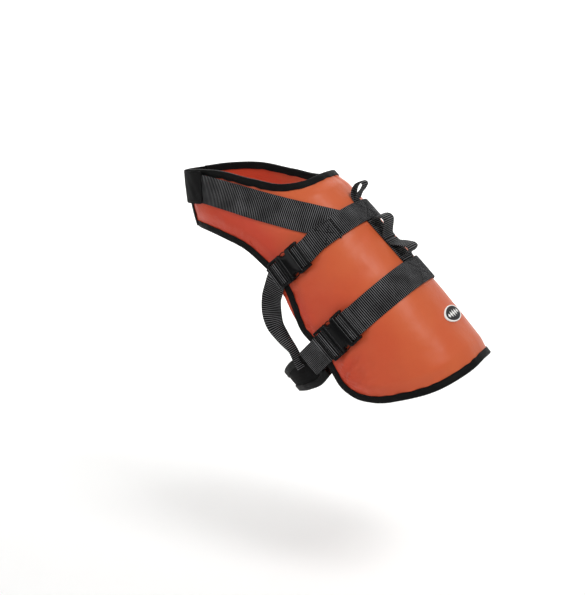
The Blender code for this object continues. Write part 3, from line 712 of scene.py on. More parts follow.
@dataclass(frozen=True)
class Seam:
    """A row of lock stitches, each a short bent run of thread."""

    length: float = 2.7
    gap: float = 0.9
    thread: float = 0.34
    height: float = 0.3
    sides: int = 6

    def sew(self, form: Form, path: Array, normals: Array) -> None:
        """Adds the stitches of one path. Each is a tube along a low arch that dips into the cloth
        at both ends: its height is the thread's times the sine of its share.

        Args:
            form: Takes the stitches.
            path: Points in mm on the cloth's face.
            normals: The way off the cloth at each point.
        """
        at = lengths_along(path)
        pitch = self.length + self.gap
        count = int((at[-1] - self.gap) // pitch)
        if count < 1:
            return
        starts = np.arange(count) * pitch + (at[-1] - count * pitch + self.gap) / 2
        shares = np.array([0.0, 0.22, 0.5, 0.78, 1.0])
        arch = self.height * np.sin(shares * math.pi) - 0.12
        spots = (starts[:, None] + shares * self.length).reshape(-1)
        middle = np.stack([np.interp(spots, at, column) for column in path.T], axis=-1)
        up = unit(np.stack([np.interp(spots, at, column) for column in normals.T], axis=-1))
        middle = middle + up * np.tile(arch, count)[:, None]
        rows = middle.reshape(count, len(shares), 3)
        ahead = unit(np.gradient(rows, axis=1))
        up = up.reshape(rows.shape)
        side = unit(np.cross(ahead, up))
        turns = np.linspace(0, 2 * math.pi, self.sides, endpoint=False)
        girth = np.array([0.5, 0.9, 1.0, 0.9, 0.5]) * self.thread
        ring = np.cos(turns)[:, None] * side[:, :, None] + np.sin(turns)[:, None] * up[:, :, None]
        rings = rows[:, :, None] + ring * girth[:, None, None]
        caps = rows[:, [0, -1], None] + 0 * rings[:, [0, -1]]
        rings = np.concatenate([caps[:, :1], rings, caps[:, 1:]], axis=1)
        levels = rings.shape[1]
        number = np.arange(levels * self.sides).reshape(levels, self.sides)
        looped = np.concatenate([number, number[:, :1]], axis=1).reshape(-1)
        quads = looped[grid_quads(levels, self.sides + 1)]
        quads = quads + np.arange(count)[:, None, None] * levels * self.sides
        uv = np.zeros((count, levels, self.sides, 2))
        uv[..., 0] = np.linspace(0, self.length, levels)[:, None]
        uv[..., 1] = turns * self.thread
        form.add(rings, quads.reshape(-1, 4), uv)


SEAM = Seam()
# drawn heavier than real thread, so that the crossed boxes show
HEAVY_SEAM = Seam(length=3.6, gap=0.5, thread=0.62, height=0.42)


# ---- the back panel ----


@dataclass(frozen=True)
class Fold:
    """A soft crease or swelling along a line on the trunk."""

    start: tuple[float, float]
    end: tuple[float, float]
    width: float
    height: float


@dataclass
class BackPanel:
    """The foam-filled panel: its cut, its thickness and the creases it wears into."""

    neck: tuple = (
        (-93, 0), (-92, 16), (-82, 46), (-81, 62), (-90, 84), (-97, 106), (-97, 130), (-95, 158),
    )
    outer: tuple = (
        (337, 0), (337, 34), (327, 62), (302, 85), (271, 102), (243, 110), (214, 112.5),
        (186, 110.5), (150, 107.5), (95, 108.5), (60, 104), (20, 100.5), (-14, 104.5),
        (-33, 110.5), (-44, 120), (-54, 138), (-58.5, 158),
    )
    half_columns: int = 112
    rows: int = 188
    foam: float = 8.0
    edge: float = 4.0
    bevel: tuple[float, float] = (11.0, 36.0)
    pillow: float = 2.0
    folds: tuple[Fold, ...] = (
        Fold((36, 28), (60, 46), 15, -2.2),
        Fold((60, 30), (98, 40), 12, -1.2),
        Fold((112, 30), (84, 62), 10, -0.8),
        Fold((40, 70), (110, 78), 22, 1.0),
        Fold((176, 88), (199, 106), 4.6, 3.4),
        Fold((190, 92), (209, 106), 4.0, -2.8),
        Fold((202, 90), (216, 106), 4.2, 3.8),
        Fold((216, 94), (226, 105), 3.8, -2.8),
        Fold((229, 92), (236, 104), 4.0, 3.4),
        Fold((246, 91), (252, 100), 4.4, 2.6),
        Fold((176, 92), (232, 99), 9.0, -1.0),
        Fold((200, 60), (300, 66), 34, 1.2),
        Fold((180, 30), (250, 44), 26, -0.9),
        Fold((262, 26), (326, 20), 20, 0.9),
        Fold((-40, 70), (-66, 100), 12, -0.9),
        Fold((-50, 112), (-84, 118), 9, 0.8),
        Fold((22, 92), (60, 100), 9, -1.0),
        Fold((84, 98), (122, 102), 8, 0.9),
        Fold((38, -30), (66, -50), 16, -1.6),
        Fold((96, -34), (62, -70), 12, -0.9),
        Fold((34, -84), (104, -74), 20, 1.1),
        Fold((182, -90), (204, -105), 4.8, 2.8),
        Fold((196, -92), (213, -105), 4.2, -2.2),
        Fold((212, -91), (226, -104), 4.4, 3.0),
        Fold((228, -92), (238, -101), 4.6, -2.0),
        Fold((240, -88), (252, -98), 4.6, 2.6),
        Fold((190, -52), (292, -70), 30, 1.1),
        Fold((268, -30), (318, -16), 22, -0.8),
        Fold((-44, -66), (-62, -98), 13, -0.8),
        Fold((-52, -124), (-80, -116), 9, 0.7),
    )

    def edges(self) -> tuple[Array, Array]:
        """The neck edge and the outer edge, from the right flap's end to the left one's."""
        count = self.half_columns + 1
        return tuple(
            whole_edge(TRUNK.sampled(edge, count)) for edge in (self.neck, self.outer)
        )

    def grid(self) -> Array:
        """Rows from the neck edge to the outer edge, closer together beside each: the row's share
        is t less 0.6 sin(2 pi t) / (2 pi). A point is mixed straight from the two edges."""
        neck, outer = self.edges()
        t = np.linspace(0, 1, self.rows)
        share = (t - 0.6 * np.sin(2 * math.pi * t) / (2 * math.pi))[:, None, None]
        return neck[None] * (1 - share) + outer[None] * share

    def from_edge(self, points: Array, grid: Array) -> tuple[Array, Array]:
        """How far each point is from the panel's nearest edge, and that edge's running length."""
        ring = np.concatenate([grid[0], grid[:, -1], grid[-1, ::-1], grid[::-1, 0]])[::2]
        line = TRUNK.surface(*ring.T)
        run = lengths_along(line)
        nearest, where = np.empty(points.shape[:2]), np.empty(points.shape[:2])
        for row, places in enumerate(points):
            away = np.linalg.norm(places[:, None] - line[None], axis=-1)
            pick = away.argmin(1)
            nearest[row], where[row] = away[np.arange(len(pick)), pick], run[pick]
        return nearest, where

    def pressed(self, grid: Array, points: Array) -> Array:
        """How far each point lies outside the straps, in mm, and below 0 under one."""
        along, around = grid[..., 0], grid[..., 1]
        front = np.where(np.abs(around) < 112, np.abs(along - 4) - 20, 99)
        rear = np.abs(along - 146) - 25
        band = np.where((along > -2) & (along < 160), np.abs(points[..., 0]) - 25, 99)
        neck = np.full(along.shape, 99.0)
        for sign in (1, -1):
            line = neck_line()
            line = TRUNK.surface(*line.T) * (sign, 1, 1)
            for row, places in enumerate(points):
                away = np.linalg.norm(places[:, None] - line[None], axis=-1).min(1) - 25
                neck[row] = np.minimum(neck[row], away)
        return np.minimum(np.minimum(front, rear), np.minimum(band, neck))

    def creases(self, points: Array) -> Array:
        """The folds' heights summed: each is a bell across its line and a half sine along it."""
        total = np.zeros(points.shape[:2])
        share = np.linspace(0, 1, 26)
        for fold in self.folds:
            start, end = np.array(fold.start, float), np.array(fold.end, float)
            line = start + (end - start) * share[:, None]
            line[:, 1] += 1.5 * np.sin(share * 5 + fold.width)
            line = TRUNK.surface(*line.T)
            bell = np.sin(math.pi * np.clip(share, 0.03, 0.97)) ** 0.7
            away = np.linalg.norm(points[:, :, None] - line, axis=-1)
            total += fold.height * (np.exp(-((away / fold.width) ** 2)) * bell).max(-1)
        return total

    @staticmethod
    def hollow(along: Array, x: Array) -> Array:
        """How far the panel sinks, in mm, where it bridges the spine behind the rear strap: a bell
        along it and a bell across it."""
        return 1.6 * np.exp(-(((along - 240) / 52) ** 2)) * np.exp(-((x / 62) ** 2))

    def puckers(self, grid: Array, edge: Array, run: Array) -> Array:
        """Short gathers square to the binding: an uneven wave along the edge that dies away
        inwards, stronger round the rear corners."""
        along, around = grid[..., 0], np.abs(grid[..., 1])
        corner = np.exp(-(((along - 228) / 48) ** 2)) * smooth_step((around - 88) / 10)
        uneven = ripple(run[..., None], 38, 5, 8)
        wave = np.sin(2 * math.pi * run / 10.5 + 2.2 * uneven)
        fine = (0.5 + 0.45 * uneven + 1.7 * corner) * wave
        wide = 0.7 * ripple(run[..., None], 30, 9, 8)
        inside = smooth_step(edge / 8)
        return inside * (fine * np.exp(-edge / 15) + wide * np.exp(-edge / 30))

    def build(self) -> bpy.types.Object:
        """The panel: foam that thins to its edges, swells between the straps and is creased."""
        grid = self.grid()
        along, around = grid[..., 0], grid[..., 1]
        inner = TRUNK.surface(along, around)
        normal = TRUNK.outward(along, around)
        edge, run = self.from_edge(inner, grid)
        near, far = self.bevel
        foam = self.edge + (self.foam - self.edge) * smooth_step((edge - near) / (far - near))
        outside = self.pressed(grid, inner)
        room = smooth_step((edge - 10) / 24) * (1 - np.exp(-np.maximum(outside, 0) / 10))
        room = room * (0.05 + 0.95 * smooth_step((np.abs(inner[..., 0]) - 40) / 45))
        swell = self.pillow * room * (1 + 0.35 * ripple(inner, 90, 3))
        gathers = np.exp(-np.maximum(outside, 0) / 9) * smooth_step(outside / 3)
        gathers = 0.32 * gathers * ripple(inner, 15, 11, 20)
        soft = 0.45 * ripple(inner, 55, 7, 18) + 0.12 * ripple(inner, 17, 8, 20)
        clear = smooth_step((edge - 9) / 5) * (1 - np.exp(-np.maximum(outside, 0) / 5))
        worn = swell + gathers + room * soft + clear * self.creases(inner)
        worn += self.puckers(grid, edge, run) - self.hollow(along, inner[..., 0])
        worn = np.maximum(worn, -0.45 * (foam - 2))
        outer = inner + normal * (foam + worn)[..., None]
        middle = inner.shape[1] // 2
        down = np.stack([lengths_along(inner[:, i]) for i in range(inner.shape[1])], axis=1)
        over = np.stack([lengths_along(row) for row in inner])
        uv = np.stack([over - over[:, middle : middle + 1], down], axis=-1)
        form = Form()
        form.slab(inner, outer, uv)
        piece = place(form.build("panel_cloth", ORANGE), Slot.PANEL, "back_panel")
        log.info("panel: longest row %.0f mm, spine %.0f mm", over[:, -1].max(), down[-1, middle])
        return piece


# ---- bindings ----


@dataclass(frozen=True)
class Binding:
    """Tape folded over an edge, sewn down through both sides."""

    name: str
    node: str
    inwards: int
    thickness: float
    tape: float = 1.2
    reach: float = 12.0
    gap: float = 0.4
    under: float = 0.8
    step: float = 1.7
    stitch_at: float = 9.4
    seed: int = 1

    def section(self) -> Array:
        """(distance in from the edge, lift) round the folded tape: a C that is open inwards, with
        a rounded back and rolled ends."""
        low, high, wall = -self.under, self.thickness + self.gap, self.tape
        top, bottom, mid = high + wall, low - wall, (high + low) / 2
        tall = (top - bottom) / 2
        fold = np.linspace(90, -90, 9)
        back = [
            (-self.gap - wall + 1.7 * (1 - math.cos(math.radians(a))),
             mid + tall * (0.5 * math.sin(math.radians(a)) + 0.5 * math.sin(math.radians(a)) ** 3))
            for a in fold
        ]
        reach = self.reach
        upper = [(reach - 0.5, high), (reach, high + 0.35), (reach, top - 0.35), (reach - 0.6, top),
                 (reach - 2.1, top), (self.stitch_at, top - 0.28), (reach - 3.2, top),
                 (reach - 6, top + 0.1), (reach - 9, top + 0.1)]
        lower = [(reach - 9, bottom), (reach - 3, bottom), (reach - 0.5, bottom),
                 (reach, bottom + 0.4), (reach, low - 0.3), (reach - 0.4, low)]
        inside = [(0.6 - self.gap, low), (-self.gap, low + 0.4), (-self.gap, high - 0.4),
                  (0.6 - self.gap, high)]
        return np.array(upper + back + lower + inside)

    def build(self, edge: Array, slot: Slot, stitches: Form) -> bpy.types.Object:
        """Carries the section along the edge, a little wider here and narrower there.

        Args:
            edge: Rows of along and around.
            slot: Its slot of the record.
            stitches: Takes its row of stitches.

        Returns:
            The tape.
        """
        line = TRUNK.surface(*edge.T)
        run = lengths_along(line)
        count = max(12, int(run[-1] / self.step))
        at = np.linspace(0, run[-1], count)
        path = spline(at, run, edge)
        uneven = ripple(at[:, None], 26, self.seed, 8)
        dimple = np.cos(2 * math.pi * at / (SEAM.length + SEAM.gap))
        section = self.section()
        rings, uv = [], []
        round_it = lengths_along(section)
        for number, (distance, lift) in enumerate(section):
            inner = smooth_step(distance / self.reach)
            top = lift > self.thickness
            sway = 0.5 * uneven * inner + (0.22 * uneven + 0.1 * dimple * inner) * (distance > 2)
            side = TRUNK.beside(path, self.inwards * (distance + 0.35 * uneven * inner))
            rings.append(TRUNK.lifted(*side.T, lift + 0.35 * sway * top))
            uv.append(np.stack([at, np.full(count, round_it[number])], axis=-1))
        form = Form()
        form.tube(np.stack(rings, axis=1), np.stack(uv, axis=1))
        for lift, flip in ((self.thickness + self.gap + self.tape - 0.2, 1), (-self.under - self.tape, -1)):
            side = TRUNK.beside(path, self.inwards * (self.stitch_at + 0.35 * uneven))
            normal = TRUNK.outward(*side.T)
            row = TRUNK.surface(*side.T) + normal * lift
            SEAM.sew(stitches, row[2:-2], normal[2:-2] * flip)
        return place(form.build(self.name, TAPE), slot, self.node)


def cut_short(path: Array, start: float, end: float) -> Array:
    """The path less this many mm at each end."""
    run = lengths_along(TRUNK.surface(*path.T))
    at = np.linspace(start, run[-1] - end, len(path))
    return spline(at, run, path)


def lengthened(path: Array, extra: float) -> Array:
    """The path carried on straight by this many mm at each end."""
    line = TRUNK.surface(*path.T)
    first = extra / np.linalg.norm(line[0] - line[1])
    last = extra / np.linalg.norm(line[-1] - line[-2])
    before = path[:1] + (path[:1] - path[1:2]) * first
    after = path[-1:] + (path[-1:] - path[-2:-1]) * last
    return np.concatenate([before, path, after])


@dataclass
class Bindings:
    """Tape round the neck, the hem with its round corners, each armhole and each flap's end."""

    joint_along: float = 146.0
    apart: float = 0.8
    corner: float = 1.5
    lap: tuple[float, float] = (1.8, 2.2)

    def build(self, panel: BackPanel) -> list[bpy.types.Object]:
        """Binds every edge of the panel."""
        grid = panel.grid()
        outer = grid[-1]
        half = panel.half_columns
        joint = int(np.argmin(np.abs(outer[half:, 0] - self.joint_along)))
        left, right = half + joint, half - joint
        thin = panel.edge
        form = Form()
        pieces = [
            Binding("neck_tape", "binding_neck", 1, thin, seed=21).build(grid[0], Slot.BINDING, form),
            Binding("hem_tape", "binding_hem", -1, thin, seed=22).build(
                outer[right : left + 1], Slot.BINDING, form
            ),
        ]
        for side, path, inwards in (("left", outer[left:], -1), ("right", outer[right::-1], 1)):
            tape = Binding(f"armhole_tape_{side}", f"binding_armhole_{side}", inwards, thin, seed=23)
            pieces.append(tape.build(cut_short(path, self.apart, 0), Slot.BINDING, form))
        for side, column, inwards in (("left", -1, 1), ("right", 0, -1)):
            tape = Binding(
                f"flap_tape_{side}", f"binding_flap_{side}", inwards, thin,
                gap=self.lap[0], under=self.lap[1], seed=24,
            )
            path = lengthened(grid[:, column], self.corner)
            pieces.append(tape.build(path, Slot.BINDING, form))
        pieces.append(place(form.build("binding_stitches", THREAD), Slot.BINDING))
        return pieces


# ---- webbing ----


@dataclass(frozen=True)
class Webbing:
    """A length of webbing: how its section and its ribs are drawn."""

    width: float
    thickness: float = 1.6
    rib: float = 3.5
    rib_depth: float = 0.4
    step: float = 0.68
    across: tuple[float, ...] = (
        -1, -0.985, -0.95, -0.86, -0.62, -0.37, -0.12, 0.12, 0.37, 0.62, 0.86, 0.95, 0.985, 1,
    )

    def offsets(self) -> Array:
        """Distances from the middle of the strap, in mm, close together at its two edges."""
        return np.array(self.across) * self.width / 2

    def profile(self) -> Array:
        """Half thickness at each offset: full, and rounded off in the last 1.5 mm."""
        inside = (1 - np.abs(np.array(self.across))) * self.width / 2
        return self.thickness / 2 * np.sqrt(np.clip(0.12 + inside / 1.2, 0, 1))

    def evened(self, rows: Array, step: float) -> tuple[Array, Array]:
        """The rows at even steps along the strap's middle, on smooth curves through them.

        Args:
            rows: Points by row and offset.
            step: Millimetres between rows.

        Returns:
            The new rows, and how far along each is.
        """
        middle = rows[:, rows.shape[1] // 2]
        run = lengths_along(middle)
        at = np.linspace(0, run[-1], max(8, int(run[-1] / step)))
        return spline(at, run, rows), at

    def add_to(self, form: Form, rows: Array, ribbed: bool = True) -> tuple[Array, Array, Array]:
        """Adds the strap through rows of points across it. Ribs are a sine along it that fades at
        the edges.

        Args:
            form: Takes the strap.
            rows: Points by row and offset, in mm.
            ribbed: Whether its ribs are drawn in the mesh.

        Returns:
            The middle surface's points, its normals and the running length.
        """
        step = self.step if ribbed else 1.6
        middle, at = self.evened(rows, step)
        along, over = np.gradient(middle, axis=0), np.gradient(middle, axis=1)
        normal = unit(np.cross(over, along))
        ribs = self.rib_depth * np.sin(2 * math.pi * at / self.rib)[:, None]
        inside = (1 - np.abs(np.array(self.across))) * self.width / 2
        height = self.profile() + (ribs * smooth_step(inside / 2.2) if ribbed else 0)
        height = np.broadcast_to(height, middle.shape[:2])[..., None]
        places = np.broadcast_arrays(at[:, None], self.offsets()[None])
        form.slab(middle - normal * height, middle + normal * height, np.stack(places, axis=-1))
        return middle, normal, at

    def laid(self, path: Array, lift: Array) -> Array:
        """Rows across a strap whose middle follows a path on the trunk."""
        sides = [TRUNK.beside(path, distance) for distance in self.offsets()]
        return np.stack([TRUNK.lifted(*s.T, lift) for s in sides], axis=1)


def softened(values: Array, reach: int) -> Array:
    """The values with their corners rounded: a running mean, done twice, that keeps the ends."""
    for _ in range(2):
        padded = np.pad(values, reach, mode="edge")
        values = np.convolve(padded, np.ones(2 * reach + 1) / (2 * reach + 1), mode="valid")
    return values


def neck_line() -> Array:
    """The left neck strap's path on the trunk."""
    return TRUNK.sampled(
        ((8, 38.5), (-33, 62), (-62, 85), (-78, 110), (-83, 132), (-82, 150)), 60
    )


UNDER = 9.4
ON_BAND = 11.4
OVER = 12.1


@dataclass(frozen=True)
class BuckleSeat:
    """Where a buckle sits: its middle on the trunk and the webbing it takes."""

    name: str
    along: float
    around: float
    webbing: float
    lift: float = 8.8

    def axes(self) -> tuple[Array, Array, Array, Array]:
        """The buckle's middle, and its directions down the strap, across it and outwards."""
        along, around = np.array([self.along], float), np.array([self.around], float)
        out = TRUNK.outward(along, around)[0]
        over = TRUNK.slopes(along, around)[1][0]
        down = unit(over - out * np.dot(over, out))
        middle = TRUNK.surface(along, around)[0] + out * self.lift
        return middle, down, np.cross(out, down), out

    def world(self, local: Array) -> Array:
        """Places in the buckle's own frame, down, across and out, brought onto the jacket."""
        middle, down, side, out = self.axes()
        return middle + local @ np.stack([down, side, out])


FRONT_SEAT = BuckleSeat("front", 7, 87, 40)
REAR_SEAT = BuckleSeat("rear", 146, 90, 50)


@dataclass(frozen=True)
class FoldedEnd:
    """The end of a strap under a buckle's rim and inner bar, up round that bar and back over
    itself."""

    seat: BuckleSeat
    towards: int
    socket_bar: float = -19.0
    plug_bar: float = 22.0
    middle: float = 5.9
    radius: float = 3.1
    squash: float = 0.6
    upper_tail: float = 27.0
    lower_tail: float = 20.0

    def rows(self, webbing: Webbing) -> Array:
        """Rows across the strap, from under the bar to the tail's end."""
        upper = self.towards == 1
        bar = self.socket_bar if upper else self.plug_bar
        turns = np.radians(np.linspace(-90, 90, 9))
        end = bar - self.towards * (self.upper_tail if upper else self.lower_tail)
        x = bar + self.towards * self.radius * self.squash * np.cos(turns)
        z = self.middle + self.radius * np.sin(turns)
        tail = np.linspace(0.35, 1, 4)
        x = np.concatenate([[bar - self.towards * 10], x, bar + (end - bar) * tail])
        drop = (-0.2, -0.5, -0.9, -1.3)
        z = np.concatenate(
            [[self.middle - self.radius], z, self.middle + self.radius + np.array(drop)]
        )
        offsets = -webbing.offsets() * self.towards
        local = np.zeros((len(x), len(offsets), 3))
        local[..., 0], local[..., 1], local[..., 2] = x[:, None], offsets, z[:, None]
        return self.seat.world(local)


def sew_lines(form: Form, surface: Array, normal: Array, at: Array, lines: tuple, lift: float) -> None:
    """Sews straight lines on a strap.

    Args:
        form: Takes the stitches.
        surface: The strap's middle surface, rows by offsets.
        normal: Its normals.
        at: How far along the strap each row is.
        lines: Each a start and an end, as (mm along, share across from -1 to 1).
        lift: From the middle surface to the stitches.
    """
    shares = np.array(Webbing(50).across)
    for start, end in lines:
        long = math.hypot(end[0] - start[0], (end[1] - start[1]) * 22)
        t = np.linspace(0, 1, max(6, int(long / 1.5)))
        u = start[0] + (end[0] - start[0]) * t
        v = start[1] + (end[1] - start[1]) * t
        rows = np.clip(np.interp(u, at, np.arange(len(at))), 0, len(at) - 1.001)
        columns = np.clip(np.interp(v, shares, np.arange(len(shares))), 0, len(shares) - 1.001)
        r, c = rows.astype(int), columns.astype(int)
        fr, fc = (rows - r)[:, None], (columns - c)[:, None]
        for_both = []
        for field_ in (surface, normal):
            near = field_[r, c] * (1 - fc) + field_[r, c + 1] * fc
            far = field_[r + 1, c] * (1 - fc) + field_[r + 1, c + 1] * fc
            for_both.append(near * (1 - fr) + far * fr)
        up = unit(for_both[1])
        HEAVY_SEAM.sew(form, for_both[0] + up * lift, up)


@dataclass
class Straps:
    """Girth straps, neck straps, spine band, loops and the straps below the buckles."""

    front_at: float = 4.0
    rear_at: float = 146.0
    stitches: Form = field(default_factory=Form)

    @staticmethod
    def crossed_box(centre: float, half: float, rim: float = 0.84) -> tuple:
        """The lines of a box with a cross in it, sewn round a place along a strap."""
        first, last = centre - half, centre + half
        return (
            ((first, -rim), (last, -rim)), ((first, rim), (last, rim)), ((first, -rim), (first, rim)),
            ((last, -rim), (last, rim)), ((first, -rim), (last, rim)), ((first, rim), (last, -rim)),
        )

    def girth(
        self, name: str, node: str, seat: BuckleSeat, route: tuple, at: float, joins: tuple = ()
    ) -> bpy.types.Object:
        """A girth strap from its socket over the back to the belly panel's right end, sewn with a
        crossed box over the spine and at each of the joins' angles."""
        webbing = Webbing(seat.webbing)
        path = TRUNK.sampled(route, 110)
        lift = softened(path[:, 2], 3)
        rows = webbing.laid(path[:, :2], lift)
        form = Form()
        rows = np.concatenate([FoldedEnd(seat, 1).rows(webbing)[::-1], rows])
        middle, normal, run = webbing.add_to(form, rows)
        if np.dot(normal[len(normal) // 2, 7], (0, 0.7, 0.7)) < 0:
            normal = -normal
        crossing = int(np.argmin(np.abs(middle[:, 7, 0]) + (middle[:, 7, 2] < -150) * 999))
        centre = run[crossing]
        lines = list(self.crossed_box(centre, 24.0))
        for angle in joins:
            spot = TRUNK.surface(np.array([at]), np.array([angle]))[0]
            near = run[int(np.linalg.norm(middle[:, 7] - spot, axis=-1).argmin())]
            lines += self.crossed_box(near, 17.0)
        sew_lines(self.stitches, middle, normal, run, tuple(lines), webbing.thickness / 2 + 0.1)
        piece = place(form.build(name, WEBBING), Slot.WEBBING, node)
        return piece

    def simple(self, name: str, node: str, webbing: Webbing, rows: Array) -> bpy.types.Object:
        """A strap through rows of points."""
        form = Form()
        run = webbing.add_to(form, rows)[2]
        piece = place(form.build(name, WEBBING), Slot.WEBBING, node)
        return piece

    def build(self) -> list[bpy.types.Object]:
        """Every strap of the jacket."""
        front = (
            (4, 62, OVER), (4, 20, OVER), (4, -20, OVER), (4, -70, OVER), (10, -98, OVER),
            (26, -113, 9), (52, -122, 5), (85, -129, 5), (112, -132, 8.2), (136, -133, 8.2),
        )
        rear = (
            (146, 66, UNDER), (146, 45, UNDER), (146, 25, OVER), (146, 0, OVER),
            (146, -25, OVER), (146, -45, UNDER), (146, -90, UNDER), (146, -107, UNDER),
            (146, -115, 8.2), (146, -122, 7.9),
        )
        pieces = [
            self.girth(
                "girth_webbing_front", "front_girth_strap", FRONT_SEAT, front, self.front_at, (54, -54)
            ),
            self.girth("girth_webbing_rear", "rear_girth_strap", REAR_SEAT, rear, self.rear_at),
        ]
        wide = Webbing(50)
        line = neck_line()
        for side, sign in (("left", 1), ("right", -1)):
            rows = wide.laid(line, UNDER + 0.4) * (sign, 1, 1)
            pieces.append(
                self.simple(f"neck_webbing_{side}", f"neck_strap_{side}", wide, rows)
            )
        alongs = np.linspace(-2, 160, 40)
        rows = np.stack([spine_row(along, wide.offsets(), UNDER) for along in alongs])
        pieces.append(self.simple("spine_webbing", "spine_band", wide, rows))
        pieces += self.loops()
        pieces += self.lower()
        pieces.append(place(self.stitches.build("webbing_stitches", THREAD), Slot.WEBBING))
        return pieces

    def loops(self) -> list[bpy.types.Object]:
        """The tab and the two handles, each a band bent over the spine."""
        pieces = []
        for name, node, width, lift, points in (
            ("tab_webbing", "front_tab_loop", 30, UNDER,
             ((-12, 0), (-22, 0), (-32, 5), (-38, 15), (-39, 25), (-35, 32), (-30, 32), (-27, 26),
              (-25, 14), (-20.5, 3))),
            ("front_handle_webbing", "handle_front", 50, ON_BAND,
             ((30, 0), (28.5, 8), (31, 16), (37, 20.5), (44, 20.5), (50, 15.5), (57, 7), (63, 1),
              (71, 0))),
            ("rear_handle_webbing", "handle_rear", 50, ON_BAND,
             ((74, 0), (82, 1), (90, 8.5), (98, 15), (105, 19.5), (110.5, 19.5), (113, 14),
              (112.5, 2), (120, 0))),
        ):
            webbing = Webbing(width)
            points = np.array(points, float)
            run = lengths_along(points)
            at = np.linspace(0, run[-1], 60)
            curve = spline(at, run, points)
            rows = np.stack([
                spine_row(along, webbing.offsets(), lift)
                + TRUNK.outward(np.array([along]), np.array([0.0])) * height
                for along, height in curve
            ])
            pieces.append(self.simple(name, node, webbing, rows))
        return pieces

    def lower(self) -> list[bpy.types.Object]:
        """The loose strap, folded on itself lengthwise as it narrows, and the short rear one."""
        points = (
            (14, 105, 40, 0, 9), (24, 112, 40, -5, 9), (42, 118, 38, -20, 10),
            (62, 121.5, 33, -32, 11), (85, 122.5, 26, -36, 11), (110, 123.5, 20, -24, 10),
            (127, 125.5, 18, 0, 9), (142, 127, 18, 0, 8.6),
        )
        webbing = Webbing(FRONT_SEAT.webbing)
        along, around, widths, rolls, lifts = TRUNK.sampled(points, 60).T
        widths, rolls, lifts = softened(widths, 3), softened(rolls, 3), softened(lifts, 3)
        middle, out = TRUNK.lifted(along, around, lifts), TRUNK.outward(along, around)
        side = unit(np.cross(out, np.gradient(middle, axis=0)))
        rolls = np.radians(rolls)[:, None]
        tilted = side * np.cos(rolls) + out * np.sin(rolls)
        off = unit(np.cross(np.gradient(middle, axis=0), tilted))
        share = np.array(webbing.across)
        chord = widths[:, None] / 2 * share
        hump = 0.34 * (webbing.width - widths)[:, None] * (np.cos(math.pi * share * 0.9) - 0.1)
        rows = middle[:, None] + tilted[:, None] * chord[..., None] + off[:, None] * hump[..., None]
        rows = np.concatenate([FoldedEnd(FRONT_SEAT, -1).rows(webbing)[::-1], rows])
        pieces = [self.simple("loose_webbing", "front_lower_strap", webbing, rows)]
        webbing = Webbing(REAR_SEAT.webbing)
        path = np.stack([np.full(8, 146.0), np.linspace(111, 119, 8)], axis=-1)
        rows = np.concatenate(
            [FoldedEnd(REAR_SEAT, -1).rows(webbing)[::-1], webbing.laid(path, 8.6)]
        )
        pieces.append(
            self.simple("rear_lower_webbing", "rear_lower_strap", webbing, rows)
        )
        return pieces


def spine_row(along: float, offsets: Array, lift: float) -> Array:
    """A row of points across a strap that runs down the spine."""
    around = TRUNK.around_at(along, -offsets)
    return TRUNK.lifted(np.full(len(offsets), float(along)), around, lift)


# ---- closure, badge, belly panel ----


@dataclass
class ChestClosure:
    """The hook-and-loop tape over both ends of the neck straps, with rounded corners."""

    along: float = -84.0
    first: float = 126.0
    width: float = 58.0
    thickness: float = 2.0
    lift: float = 12.4
    corner: float = 9.0
    columns: int = 34

    def build(self) -> bpy.types.Object:
        """A slab whose width follows a quarter circle near each end."""
        count = 150
        path = np.stack(
            [np.full(count, self.along), np.linspace(self.first, 360 - self.first, count)], axis=-1
        )
        run = lengths_along(TRUNK.surface(*path.T))
        end = np.minimum(run, run[-1] - run)
        inset = np.maximum(self.corner - end, 0)
        half = self.width / 2 - self.corner + np.sqrt(self.corner**2 - inset**2)
        share = np.sin(np.linspace(-90, 90, self.columns) * math.pi / 180)
        sides = [TRUNK.beside(path, half * s) for s in share]
        inside = np.minimum((1 - np.abs(share)) * self.width / 2, end[:, None])
        tall = self.thickness / 2 * np.sqrt(np.clip(0.2 + inside / 1.6, 0, 1))
        wave = 0.35 * ripple(np.stack([TRUNK.surface(*s.T) for s in sides], 1), 24, 31)
        low = np.stack(
            [TRUNK.lifted(*s.T, self.lift - tall[:, i]) for i, s in enumerate(sides)], 1
        )
        high = np.stack(
            [
                TRUNK.lifted(*s.T, self.lift + tall[:, i] + wave[:, i] * (tall[:, i] > 0.9))
                for i, s in enumerate(sides)
            ],
            1,
        )
        uv = np.stack(np.broadcast_arrays(run[:, None], share * self.width / 2), axis=-1)
        form = Form()
        form.slab(low, high, uv)
        seams = Form()
        for offset in (-0.86, 0.86):
            side = TRUNK.beside(path, half * offset)[6:-6]
            normal = TRUNK.outward(*side.T)
            row = TRUNK.surface(*side.T) + normal * (self.lift + self.thickness / 2)
            SEAM.sew(seams, row, normal)
        for index in (5, -6):
            offset = np.linspace(-0.86, 0.86, 30)
            side = np.stack([TRUNK.beside(path, half * s)[index] for s in offset])
            normal = TRUNK.outward(*side.T)
            row = TRUNK.surface(*side.T) + normal * (self.lift + self.thickness / 2)
            SEAM.sew(seams, row, normal)
        place(seams.build("closure_stitches", THREAD), Slot.CLOSURE)
        piece = place(form.build("closure_tape", CLOSURE), Slot.CLOSURE, "chest_closure")
        return piece


